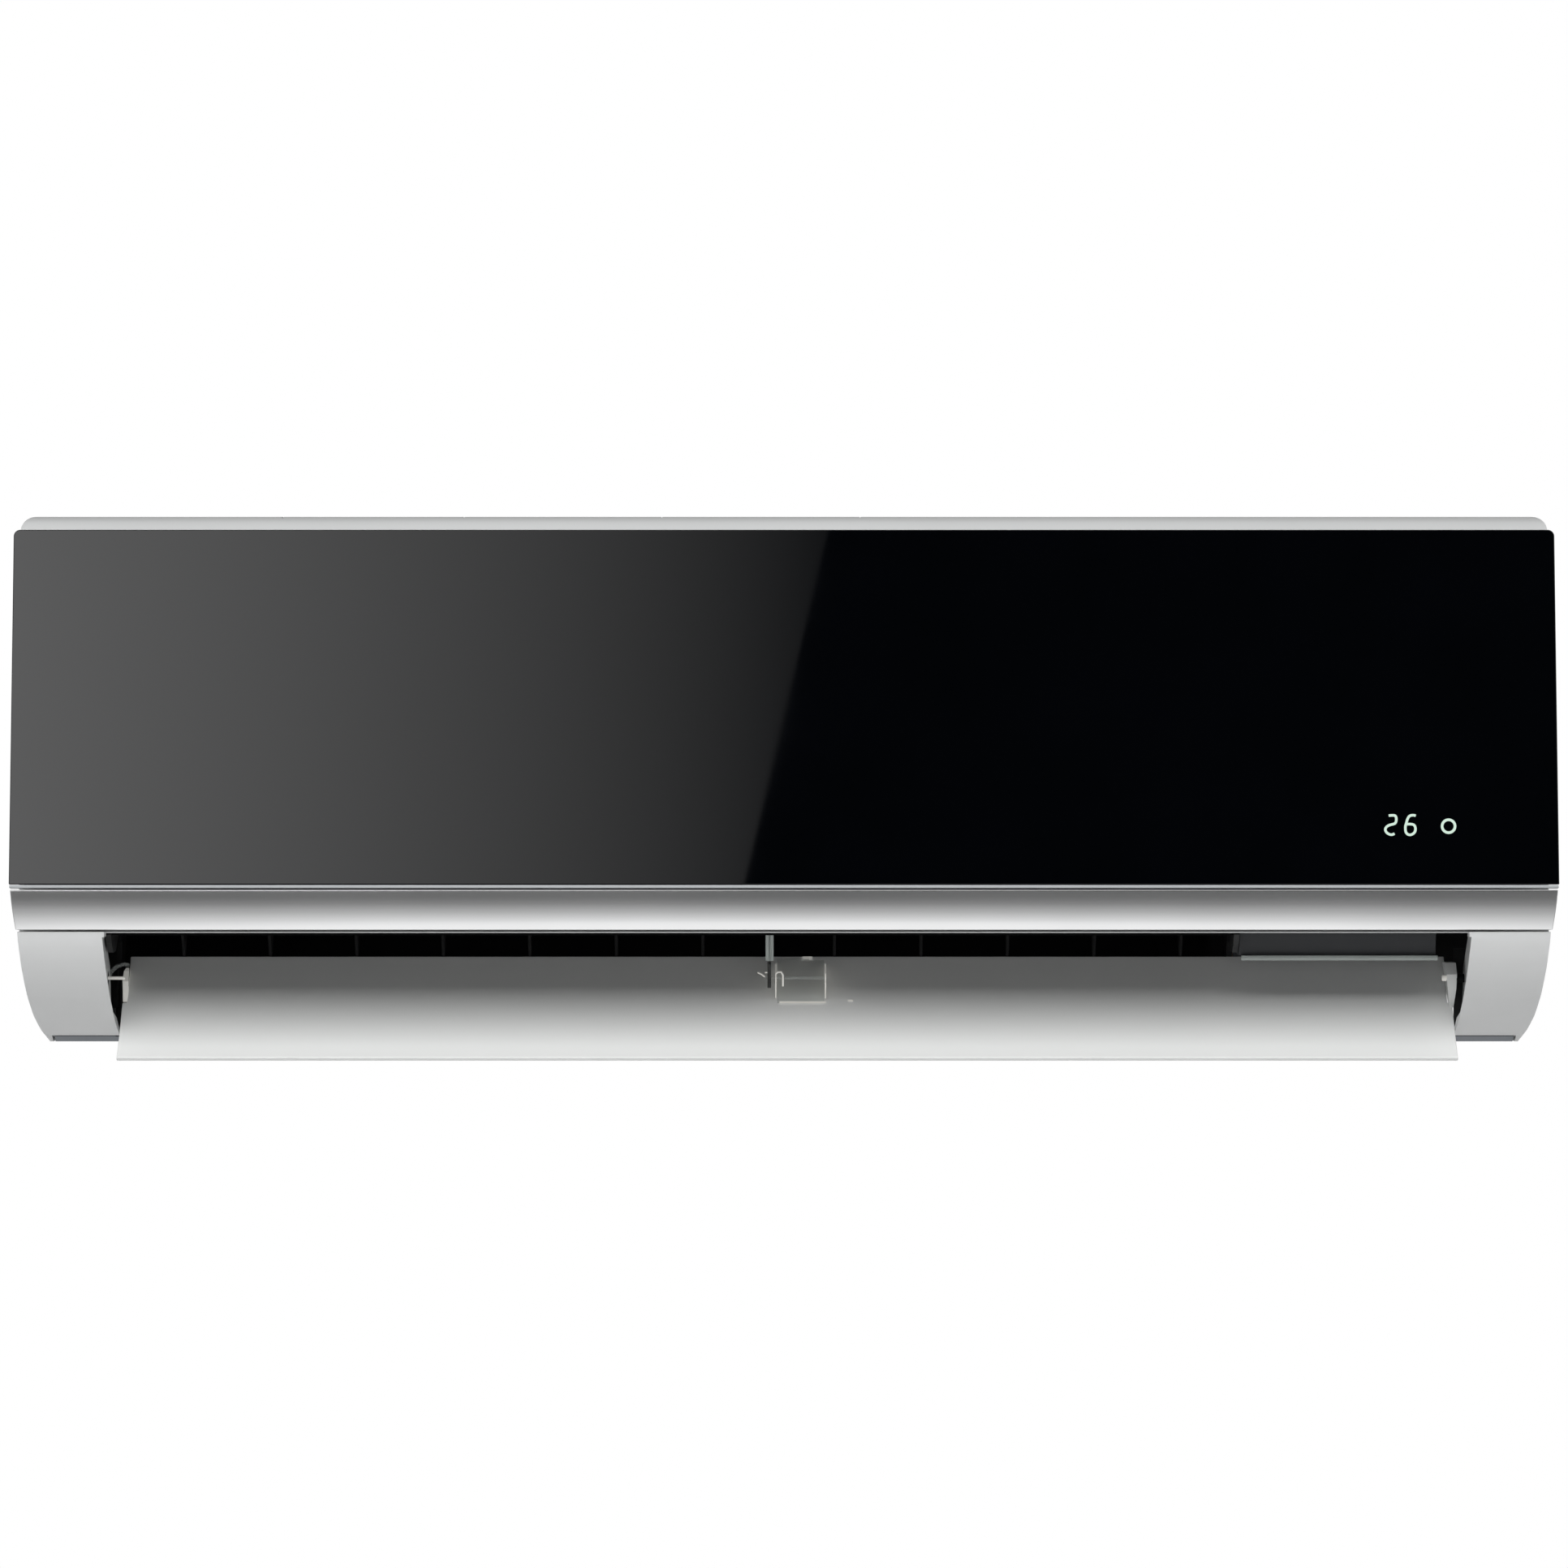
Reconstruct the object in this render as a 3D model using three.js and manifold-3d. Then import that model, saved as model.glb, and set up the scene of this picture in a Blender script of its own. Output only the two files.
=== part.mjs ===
// Wall-mounted indoor unit of a split air conditioner, as an assembly of named pieces.
// Millimetres. +X is right as seen from the front, +Y points into the wall, +Z is up.
// The origin is the middle of the wall plate's back face, so the unit stands out towards -Y.
import * as THREE from "three";
import { mergeVertices } from "three/addons/utils/BufferGeometryUtils.js";
import Module from "manifold-3d";

const wasm = await Module();
wasm.setup();

// ---------------------------------------------------------------- driving dimensions

const GAP = 0.3; // clearance where one piece seats on another
const WALL = 2.5; // moulded casing thickness
const CASE_TOP = 145.6;
const CASE_BOTTOM = -146;
const CASE_HALF = 421; // half the casing's width
const FOOT_HALF = 410; // half width where the lower corners meet the underside
const CASE_CORNER = 8; // radius of the upper corners
const CASE_FRONT_TOP = -173.5; // front wall behind the panel, at its top
const CASE_FRONT_LOW = -180; // and at its foot
const NOSE = { y: -192.5, z: -85 }; // front edge of the cheeks, under the trim strip
const PARTING_Y = -70; // casing in front of this plane, chassis behind it
const PARTING_Z = 120; // above this height the casing runs back to the wall

const GLASS_TOP = { y: -187, z: 137.6 };
const GLASS_HEIGHT = 195.3;
const GLASS_TILT = -Math.atan2(13, 194.9); // the foot of the glass stands 13 mm further out
const GLASS_HALF_TOP = 423.4;
const GLASS_HALF_LOW = 425;
const GLASS_THICK = 4;

const FAN = { y: -96, z: -30, left: -366, right: 240 };
const DUCT_LEFT = -371;
const DUCT_RIGHT = 248;
const MOUTH = { centre: 1.5, halfTop: 376, halfLow: 371, top: -86.2 };

const PIVOT = { y: -140, z: -110 }; // louver pivot
const LOUVER_OPEN = THREE.MathUtils.degToRad(79);
const LOUVER = { centre: 1.8, half: 370, notch: 5 };

const VANE_PITCH = 48;
const vaneRow = (first, count) => Array.from({ length: count }, (_, i) => first + i * VANE_PITCH);
const VANE_ORIGIN = { y: -159.4, z: -69.84 }; // on the upper duct wall
const VANE_LEAN = THREE.MathUtils.degToRad(44.56); // slope of that wall
const VANE_LEFT_X = vaneRow(-333, 7);
const VANE_RIGHT_X = vaneRow(28, 5);
const LINK_ARM = -20; // link pins stand this far upstream of the vane pivots

const COIL = { left: -364, right: 226, half: 10.2, fins: 24 };

// ---------------------------------------------------------------- finishes

const FINISH = {
  blackGlass: { color: 0x050608, roughness: 0.06, metalness: 0 },
  silver: { color: 0xc3c5c6, roughness: 0.38, metalness: 0.75 },
  clearEdge: { color: 0xc4c9cc, roughness: 0.2, metalness: 0.2 },
  casing: { color: 0xd4d6d5, roughness: 0.45, metalness: 0 },
  louver: { color: 0xe4e5e3, roughness: 0.4, metalness: 0 },
  inner: { color: 0xe1e2de, roughness: 0.55, metalness: 0 },
  dark: { color: 0x111214, roughness: 0.6, metalness: 0 },
  blank: { color: 0x2c2d2f, roughness: 0.6, metalness: 0 },
  board: { color: 0x1f5a36, roughness: 0.5, metalness: 0 },
  galvanised: { color: 0xaeb2b4, roughness: 0.4, metalness: 0.9 },
  aluminium: { color: 0xc9cccd, roughness: 0.35, metalness: 0.95 },
  copper: { color: 0xb87348, roughness: 0.35, metalness: 1 },
  brass: { color: 0xc2a055, roughness: 0.35, metalness: 1 },
  steel: { color: 0x9a9da0, roughness: 0.35, metalness: 1 },
  rubber: { color: 0x17181a, roughness: 0.9, metalness: 0 },
  filter: { color: 0x33383d, roughness: 0.8, metalness: 0 },
  hose: { color: 0xd9dad6, roughness: 0.6, metalness: 0 },
};

// ---------------------------------------------------------------- shape helpers

const polygon = (points) => new THREE.Shape(points.map(([a, b]) => new THREE.Vector2(a, b)));

// Geometry extruded from a (Y, Z) outline, from x0 to x1.
function alongX(shape, x0, x1, curveSegments = 8) {
  const depth = x1 - x0;
  const geometry = new THREE.ExtrudeGeometry(shape, { depth, bevelEnabled: false, curveSegments });
  const y = new THREE.Vector3(0, 1, 0);
  const z = new THREE.Vector3(0, 0, 1);
  const x = new THREE.Vector3(1, 0, 0);
  geometry.applyMatrix4(new THREE.Matrix4().makeBasis(y, z, x));
  return geometry.translate(x0, 0, 0);
}

// Geometry extruded from an (X, Z) outline, from y0 back to y1.
function alongY(shape, y0, y1, curveSegments = 8) {
  const depth = y1 - y0;
  const geometry = new THREE.ExtrudeGeometry(shape, { depth, bevelEnabled: false, curveSegments });
  return geometry.rotateX(Math.PI / 2).translate(0, y1, 0);
}

// Geometry extruded from an (X, Y) outline, from z0 up to z1.
function alongZ(shape, z0, z1, curveSegments = 8) {
  const depth = z1 - z0;
  const geometry = new THREE.ExtrudeGeometry(shape, { depth, bevelEnabled: false, curveSegments });
  return geometry.translate(0, 0, z0);
}

function block(x0, x1, y0, y1, z0, z1) {
  const box = new THREE.BoxGeometry(x1 - x0, y1 - y0, z1 - z0);
  return box.translate((x0 + x1) / 2, (y0 + y1) / 2, (z0 + z1) / 2);
}

function rod(axis, from, to, a, b, radius, sides = 16) {
  const cylinder = new THREE.CylinderGeometry(radius, radius, to - from, sides);
  const middle = (from + to) / 2;
  if (axis === "x") return cylinder.rotateZ(-Math.PI / 2).translate(middle, a, b);
  if (axis === "y") return cylinder.translate(a, middle, b);
  return cylinder.rotateX(Math.PI / 2).translate(a, b, middle);
}

// Solid of revolution about a line along X through (y, z); the profile is a list of [x, radius].
function turned(profile, y, z, sides = 20) {
  const points = profile.map(([x, radius]) => new THREE.Vector2(radius, x));
  const lathe = new THREE.LatheGeometry(points, sides);
  return lathe.rotateZ(-Math.PI / 2).translate(0, y, z);
}

// Closed outline of a strip of even thickness whose left-hand side follows the points.
function ribbon(points, thickness) {
  const path = points.map(([a, b]) => new THREE.Vector2(a, b));
  const last = path.length - 1;
  const offset = path.map((point, i) => {
    const before = path[Math.max(i - 1, 0)].clone();
    const after = path[Math.min(i + 1, last)].clone();
    const into = (i > 0 ? point.clone().sub(before) : after.clone().sub(point)).normalize();
    const out = (i < last ? after.sub(point) : point.clone().sub(before)).normalize();
    const mitre = new THREE.Vector2(into.y + out.y, -into.x - out.x).normalize();
    const stretch = mitre.x * into.y - mitre.y * into.x;
    return point.clone().addScaledVector(mitre, thickness / stretch);
  });
  return new THREE.Shape([...path, ...offset.reverse()]);
}

function curvePoints(from, control, to, steps) {
  const start = new THREE.Vector2(...from);
  const curve = new THREE.QuadraticBezierCurve(start, new THREE.Vector2(...control), new THREE.Vector2(...to));
  return curve.getPoints(steps).map((point) => [point.x, point.y]);
}

// Straight runs joined by round bends, with stations only where the route turns.
class Route extends THREE.Curve {
  constructor(corners, radius, steps = 4) {
    super();
    const points = corners.map((corner) => new THREE.Vector3(...corner));
    this.stations = [points[0]];
    for (let i = 1; i < points.length - 1; i++) {
      const back = points[i - 1].clone().sub(points[i]).setLength(radius).add(points[i]);
      const ahead = points[i + 1].clone().sub(points[i]).setLength(radius).add(points[i]);
      const bend = new THREE.QuadraticBezierCurve3(back, points[i], ahead);
      this.stations.push(...bend.getPoints(steps));
    }
    this.stations.push(points[points.length - 1]);
  }

  getPoint(t, target = new THREE.Vector3()) {
    const place = t * (this.stations.length - 1);
    const index = Math.min(Math.floor(place), this.stations.length - 2);
    return target.lerpVectors(this.stations[index], this.stations[index + 1], place - index);
  }

  getUtoTmapping(u) {
    return u;
  }
}

function tube(route, radius, sides = 8, bore = 0) {
  const section = new THREE.Shape();
  section.absarc(0, 0, radius, 0, 2 * Math.PI);
  if (bore) section.holes.push(new THREE.Path().absarc(0, 0, bore, 0, 2 * Math.PI, true));
  const steps = route.stations.length - 1;
  return new THREE.ExtrudeGeometry(section, { extrudePath: route, steps, curveSegments: sides / 2 });
}

// ---------------------------------------------------------------- joins and cuts

function toSolid(geometry) {
  const bare = geometry.clone();
  bare.deleteAttribute("normal");
  bare.deleteAttribute("uv");
  const merged = mergeVertices(bare, 1e-4);
  const vertProperties = merged.getAttribute("position").array;
  return new wasm.Manifold(new wasm.Mesh({ numProp: 3, vertProperties, triVerts: merged.getIndex().array }));
}

function toGeometry(solid) {
  const mesh = solid.getMesh();
  const geometry = new THREE.BufferGeometry();
  geometry.setAttribute("position", new THREE.BufferAttribute(mesh.vertProperties, 3));
  geometry.setIndex(new THREE.BufferAttribute(mesh.triVerts, 1));
  geometry.computeVertexNormals();
  return geometry;
}

const joined = (geometries) => geometries.map(toSolid).reduce((sum, solid) => sum.add(solid));
const join = (...geometries) => toGeometry(joined(geometries));
const cut = (geometry, ...cutters) => toGeometry(toSolid(geometry).subtract(joined(cutters)));
const common = (a, b) => toGeometry(toSolid(a).intersect(toSolid(b)));

// ---------------------------------------------------------------- casing

function frontOutline(inset) {
  const side = CASE_HALF - inset;
  const foot = FOOT_HALF - inset / 2;
  const top = CASE_TOP - inset;
  const bottom = CASE_BOTTOM + inset;
  const round = CASE_CORNER - inset;
  const corner = 417.5 - inset;
  const shape = new THREE.Shape();
  shape.moveTo(-foot, bottom);
  shape.lineTo(foot, bottom);
  shape.quadraticCurveTo(corner, -134 + inset, side, NOSE.z);
  shape.lineTo(side, top - round);
  shape.absarc(side - round, top - round, round, 0, Math.PI / 2);
  shape.lineTo(round - side, top);
  shape.absarc(round - side, top - round, round, Math.PI / 2, Math.PI);
  shape.lineTo(-side, NOSE.z);
  shape.quadraticCurveTo(-corner, -134 + inset, -foot, bottom);
  return shape;
}

function sideOutline(inset, back) {
  const top = CASE_TOP - inset;
  const bottom = CASE_BOTTOM + inset;
  const shape = new THREE.Shape();
  shape.moveTo(back, bottom + 14);
  shape.lineTo(-40, bottom);
  shape.lineTo(-112, bottom);
  shape.quadraticCurveTo(-160 + 0.6 * inset, -126 + 0.8 * inset, NOSE.y + 1.1 * inset, NOSE.z - inset);
  shape.lineTo(CASE_FRONT_LOW - 0.4 + inset, NOSE.z - inset);
  shape.lineTo(CASE_FRONT_LOW + inset, -62);
  shape.lineTo(CASE_FRONT_TOP + inset, 131);
  shape.quadraticCurveTo(-170 + inset, top, -158 + inset / 2, top);
  shape.lineTo(back, top);
  return shape;
}

function casingBody(inset, back) {
  const across = alongX(sideOutline(inset, back), -CASE_HALF - 5, CASE_HALF + 5, 6);
  return common(across, alongY(frontOutline(inset), -205, 10, 5));
}

function casingShell() {
  return cut(casingBody(0, -1), casingBody(WALL, 5));
}

const SEAMS = [-277, -177, -67.6, 42.1]; // parting grooves in the casing's top front edge
const HINGE = { y: -176.5, z: 133.2, x: 400 };

function cheekWall(x) {
  const profile = polygon([[-196, -86], [-196, -150], [-119.8, -150], [-119.8, -128], [-128, -104], [-177, -76]]);
  const wall = common(alongX(profile, x - WALL / 2, x + WALL / 2), casingBody(1, -1));
  return cut(wall, rod("x", x - 5, x + 5, PIVOT.y, PIVOT.z, 4.5));
}

function hingeEar(x) {
  const foot = block(x - 2, x + 2, HINGE.y + 1, -167, HINGE.z - 3.4, HINGE.z + 3.4);
  const ear = join(rod("x", x - 2, x + 2, HINGE.y, HINGE.z, 3.5), foot);
  return cut(ear, rod("x", x - 3, x + 3, HINGE.y, HINGE.z, 2));
}

function frontFrame() {
  const mouth = polygon([
    [MOUTH.centre - MOUTH.halfTop, MOUTH.top],
    [MOUTH.centre - MOUTH.halfLow, -152],
    [MOUTH.centre + MOUTH.halfLow, -152],
    [MOUTH.centre + MOUTH.halfTop, MOUTH.top],
  ]);
  const shell = cut(
    casingShell(),
    block(-430, 430, PARTING_Y, 5, -160, PARTING_Z),
    block(-408.3, 408.3, -119.8, 5, -160, -100),
    alongY(mouth, -205, -100),
    block(-388, -80, -190, -165, -34, 112),
    block(-66, 232, -190, -165, -34, 112),
    block(262, 400, -190, -165, -2, 104),
    block(-392, 392, -152, -28, 138, 150),
    rod("y", -190, -165, 397, -25, 4.2),
    ...SEAMS.map((x) => block(x - 0.4, x + 0.4, -175, -150, CASE_TOP - 0.8, 150)),
  );
  const sides = [MOUTH.centre - MOUTH.halfTop - 2, MOUTH.centre + MOUTH.halfTop + 2].map(cheekWall);
  return join(shell, ...sides, hingeEar(-HINGE.x), hingeEar(HINGE.x));
}

function topGrille() {
  const plate = block(-392 + GAP, 392 - GAP, -152 + GAP, -28 - GAP, CASE_TOP - WALL, CASE_TOP);
  const rows = 6;
  const columns = 8;
  const slots = [];
  for (let row = 0; row < rows; row++) {
    for (let column = 0; column < columns; column++) {
      const x = -385 + column * 96.6;
      const y = -147 + row * 19.4;
      slots.push(block(x, x + 92, y, y + 15, 130, 150));
    }
  }
  return cut(plate, ...slots);
}

// ---------------------------------------------------------------- front panel, in its own tilted frame

function glassPanel() {
  const shape = new THREE.Shape();
  const round = 4;
  shape.moveTo(-GLASS_HALF_LOW, -GLASS_HEIGHT);
  shape.lineTo(GLASS_HALF_LOW, -GLASS_HEIGHT);
  shape.lineTo(GLASS_HALF_TOP, -round);
  shape.quadraticCurveTo(GLASS_HALF_TOP, 0, GLASS_HALF_TOP - round, 0);
  shape.lineTo(round - GLASS_HALF_TOP, 0);
  shape.quadraticCurveTo(-GLASS_HALF_TOP, 0, -GLASS_HALF_TOP, -round);
  return alongY(shape, 0, GLASS_THICK, 4);
}

const DISPLAY = { left: 306, right: 388, low: -184, high: -144 }; // window in the carrier
const PANEL_HINGE = { y: 10.77, z: -3.69 }; // the hinge axis, seen from the panel's own frame

function hingeArm(side) {
  const inner = HINGE.x + 3.2;
  const outer = HINGE.x + 6.2;
  const span = side > 0 ? [inner, outer] : [-outer, -inner];
  const pin = side > 0 ? [HINGE.x - 1.5, outer] : [-outer, 1.5 - HINGE.x];
  const web = block(...span, 6, PANEL_HINGE.y, PANEL_HINGE.z - 2.4, PANEL_HINGE.z + 2.4);
  const eye = rod("x", ...span, PANEL_HINGE.y, PANEL_HINGE.z, 2.6);
  return join(web, eye, rod("x", ...pin, PANEL_HINGE.y, PANEL_HINGE.z, 1.7, 12));
}

function panelCarrier() {
  const back = GLASS_THICK + GAP;
  const plate = block(-420, 420, back, back + 2.5, -193, -1.2);
  const rimDepth = 13;
  const rims = [
    block(-420, -417.6, back, rimDepth, -193, -12),
    block(417.6, 420, back, rimDepth, -193, -12),
    block(-420, 420, back, rimDepth, -193, -190.6),
  ];
  const ribs = [];
  for (let x = -336; x <= 240; x += 144) {
    ribs.push(block(x - 0.8, x + 0.8, back, back + 6, -190, -14));
  }
  for (const z of [-14, -110]) {
    ribs.push(block(-419, 419, back, back + 5, z - 1, z + 1));
  }
  const body = join(plate, ...rims, ...ribs, hingeArm(-1), hingeArm(1));
  return cut(body, block(DISPLAY.left, DISPLAY.right, 0, 20, DISPLAY.low, DISPLAY.high));
}

function displayMask() {
  const { left, right, low, high } = DISPLAY;
  const front = GLASS_THICK + GAP;
  const body = block(left + GAP, right - GAP, front, front + 4.6, low + GAP, high - GAP);
  const cells = [333, 344, 364.7].map((x) => block(x - 5, x + 5, 0, front + 3.4, -170.5, -155));
  return cut(body, ...cells);
}

function displayBoard() {
  const { left, right, low, high } = DISPLAY;
  const front = GLASS_THICK + 4.6 + 2 * GAP;
  return join(
    block(left + 2, right - 2, front, front + 1.6, low + 2, high - 2),
    block(left + 16, right - 30, front + 1.5, front + 3.2, -172, -158),
  );
}

function panelEdgeStrip() {
  return block(-424.6, 424.6, -0.3, 6, -GLASS_HEIGHT - 2.4, -GLASS_HEIGHT - GAP);
}

function silverTrim() {
  const face = curvePoints([-0.2, -198], [-0.8, -213], [8.7, -220.9], 6);
  const path = [[12, -198], ...face, [17, -220.3]];
  const half = 425;
  const skin = alongX(ribbon(path, -2), -half, half);
  const end = polygon([[12, -198], ...face, [12, -220.6]]);
  const body = join(skin, alongX(end, -half, 2 - half), alongX(end, half - 2, half));
  const trimmed = polygon([[-424.8, -196], [-421.6, -222], [421.6, -222], [424.8, -196]]);
  return common(body, alongY(trimmed, -5, 25));
}

// ---------------------------------------------------------------- rear chassis and duct

function spiral(offset, from, to, steps) {
  const points = [];
  for (let i = 0; i <= steps; i++) {
    const part = i / steps;
    const angle = THREE.MathUtils.degToRad(from + (to - from) * part);
    const growth = (40 - (from + (to - from) * part)) / 80;
    const radius = 49 + 9 * growth + offset;
    points.push([FAN.y + radius * Math.cos(angle), FAN.z + radius * Math.sin(angle)]);
  }
  return points;
}

const DUCT_END = [
  [-148, -12], [-147, -57], [-175, -85.2], [-170, -90], [-158, -95.5], [-140, -95], [-112, -83],
  [-99, -91], [-99.5, -112], [-105, -128], [-116, -141.5], [-112, -144], [-50, -71], [-42, -34],
  [-46, -2], [-62, 12], [-96, 20], [-130, 14],
];

function chassisBack() {
  const scroll = polygon([
    [-15, 4], [-50, 4], [-54, 12], [-57.6, 12], ...spiral(0, 40, -40, 8),
    [-115.1, -143], [-119.3, -143.4], [-119.3, -146], [-40, -146], [-40, -143], [-111, -143],
    ...spiral(3, -40, 28, 6), [-50, 1], [-15, 1],
  ]);
  const duct = alongX(scroll, DUCT_LEFT - 3, DUCT_RIGHT + 3);
  const back = block(-419, 419, -15, -12, -118, PARTING_Z - 1);
  const crown = block(-415, 415, -15, -12, PARTING_Z - 5, 138);
  const floor = block(-407, 407, -119.3, -40, -146, -143);
  const leftStand = block(-407, DUCT_LEFT - 2, -119.3, -117.3, -144, -111);
  const rightStand = block(DUCT_RIGHT + 2, 407, -119.3, -117.3, -144, -138);
  const rightCorner = block(373.6, 407, -119.3, -117.3, -140, -94);
  const trough = block(DUCT_LEFT - 3, DUCT_RIGHT + 3, -16, -12, 1, 4);
  return [duct, back, crown, floor, leftStand, rightStand, rightCorner, trough];
}

function motorCradle(x) {
  const profile = polygon([[-134, -34], [-134, -62], [-100, -72], [-88, -80], [-66, -112], [-56, -144], [-50, -144],
    [-50, -34]]);
  const rib = alongX(profile, x - 1.5, x + 1.5);
  return cut(rib, rod("x", x - 3, x + 3, FAN.y, FAN.z, 38.6, 24));
}

function rearChassis() {
  const ends = [
    alongX(polygon(DUCT_END), DUCT_LEFT - 3, DUCT_LEFT),
    alongX(polygon(DUCT_END), DUCT_RIGHT, DUCT_RIGHT + 3),
  ];
  const body = common(join(...chassisBack(), ...ends), casingBody(0, -1));
  const cap = common(casingShell(), block(-430, 430, PARTING_Y + GAP, 0, -160, PARTING_Z - GAP));
  const caps = cut(cap, block(-405, 405, -80, 5, -160, 150));
  const cradles = common(join(motorCradle(272), block(272, 322, -60, -54, -146, -140), motorCradle(322)),
    casingBody(0, -1));
  return cut(
    join(body, caps, cradles),
    rod("x", DUCT_LEFT - 5, DUCT_LEFT + 2, FAN.y, FAN.z, 10),
    rod("x", DUCT_RIGHT - 2, DUCT_RIGHT + 5, FAN.y, FAN.z, 13),
    block(-268, -232, -20, -10, 92, 109.8),
    block(232, 268, -20, -10, 92, 109.8),
  );
}

function drainTray() {
  const section = polygon([
    [-142.3, -53], [-175.4, -85.6], [-175.4, -81.5], [-173.5, -79.6], [-173.5, -38],
    [-171.5, -38], [-171.5, -77.6], [-146, -52.4], [-146, -40], [-144, -40],
  ]);
  const end = polygon([[-142.3, -53], [-175.4, -85.6], [-175.4, -81.5], [-173.5, -79.6], [-173.5, -38],
    [-171.5, -38], [-146, -40], [-144, -40]]);
  const left = DUCT_LEFT + GAP;
  const right = DUCT_RIGHT - GAP;
  const spout = { y: -165, z: -62, radius: 6 };
  const tray = join(
    alongX(section, left, right),
    alongX(end, left, left + 2),
    alongX(end, right - 2, right),
    rod("x", left - 14, left + 1, spout.y, spout.z, spout.radius, 12),
    rod("x", right - 1, right + 12, spout.y, spout.z, spout.radius, 12),
  );
  const bore = rod("x", left - 20, left + 3, spout.y, spout.z, spout.radius - 1.8, 12);
  const boreRight = rod("x", right - 3, right + 20, spout.y, spout.z, spout.radius - 1.8, 12);
  const pivots = [...VANE_LEFT_X, ...VANE_RIGHT_X].map((x) => {
    const hole = rod("z", -6, 2, 0, 0, 2.3, 6).rotateX(Math.PI + VANE_LEAN);
    return hole.translate(x, VANE_ORIGIN.y, VANE_ORIGIN.z);
  });
  return cut(tray, bore, boreRight, ...pivots);
}

function outletBlank() {
  const path = [[-167.5, -80.5], [-163.5, -96.5], [-140, -96.8], [-112, -84], [-102.5, -86], [-98, -96], [-98, -132]];
  return alongX(ribbon(path, -2.2), DUCT_RIGHT + 3.4, 360);
}

function louverBracket() {
  const web = polygon([[-168, -82.5], [-158, -72.8], [-146, -88], [-136.4, -107], [-143.6, -113]]);
  const arm = polygon([[-168, -82.5], [-158, -72.8], [-146, -88], [-139.9, -100], [-154, -100]]);
  const eye = { left: -9.2, right: -7.2, radius: 5.5, bore: 2.1 };
  const body = join(
    alongX(arm, -10.2, -5.8),
    alongX(web, eye.left, eye.right),
    rod("x", eye.left, eye.right, PIVOT.y, PIVOT.z, eye.radius),
  );
  return cut(body, rod("x", -12, -4, PIVOT.y, PIVOT.z, eye.bore, 12));
}

// ---------------------------------------------------------------- louver, closed, about its own pivot

function louverSection() {
  const outer = curvePoints([-50, 21.2], [-20, -14], [16, -33.2], 8);
  const inner = curvePoints([17.6, -30.6], [-17.6, -11.2], [-48.3, 22.8], 8);
  return polygon([...outer, ...inner]);
}

function louverLug(x0, x1) {
  const lug = polygon([[-4.5, 1.5], [-27, -0.1], [-17.3, -8.6], [-7.3, -16.2], [-0.5, -21], [4.5, -1], [3, 4],
    [-3, 4.2]]);
  return alongX(lug, x0, x1);
}

function louver() {
  const left = LOUVER.centre - LOUVER.half;
  const right = LOUVER.centre + LOUVER.half;
  const blade = alongX(louverSection(), left, right);
  const notch = (x) => block(x - LOUVER.notch, x + LOUVER.notch, -8, 30, -60, -12);
  const sheet = cut(blade, notch(left), notch(right));
  return join(
    sheet,
    louverLug(left + 6, left + 9),
    louverLug(right - 9, right - 6),
    louverLug(-5.2, -2.6),
    louverLug(18, 20.6),
    rod("x", left - 8, left + 7, 0, 0, 3, 12),
    rod("x", right - 7, right + 6, 0, 0, 3, 12),
    rod("x", -11.5, -5, 0, 0, 1.8, 10),
  );
}

// ---------------------------------------------------------------- vanes and their link bars

// Vane frame: Y runs downstream along the duct wall, Z points down into the duct.
function vane() {
  const blade = new THREE.Shape();
  blade.moveTo(-14, 1.5);
  blade.lineTo(5, 1.5);
  blade.quadraticCurveTo(8, 1.5, 8, 5);
  blade.lineTo(8, 28);
  blade.quadraticCurveTo(8, 34, 2, 34);
  blade.lineTo(-9, 34);
  blade.quadraticCurveTo(-15, 34, -15, 28);
  blade.lineTo(-15, 5);
  return join(
    alongX(blade, -0.8, 0.8, 2),
    rod("z", -4.6, 3, 0, 0, 1.8, 6),
    block(-2, 2, LINK_ARM - 2, -13, 17.6, 19.6),
    rod("z", 18, 23.4, 0, LINK_ARM, 1.2, 6),
  );
}

function linkBar(places) {
  const first = places[0];
  const last = places[places.length - 1];
  const bar = block(first - 5, last + 5, LINK_ARM - 2.4, LINK_ARM + 2.4, 20.1, 22.1);
  const grip = block(last - 24, last - 16, LINK_ARM - 1, LINK_ARM + 1, 21, 28);
  const holes = places.map((x) => rod("z", 19, 24, x, LINK_ARM, 1.6, 6));
  return cut(join(bar, grip), ...holes);
}

// ---------------------------------------------------------------- fan and its drive

function blade(angle) {
  const stations = [[34.5, 0], [39.5, 4], [44.8, 12]]; // radius and sweep: the tip leans forward
  const side = (turn) => stations.map(([radius, sweep]) => {
    const at = THREE.MathUtils.degToRad(angle + sweep) + turn / radius;
    return [radius * Math.cos(at), radius * Math.sin(at)];
  });
  return polygon([...side(-0.6), ...side(0.6).reverse()]);
}

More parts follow.
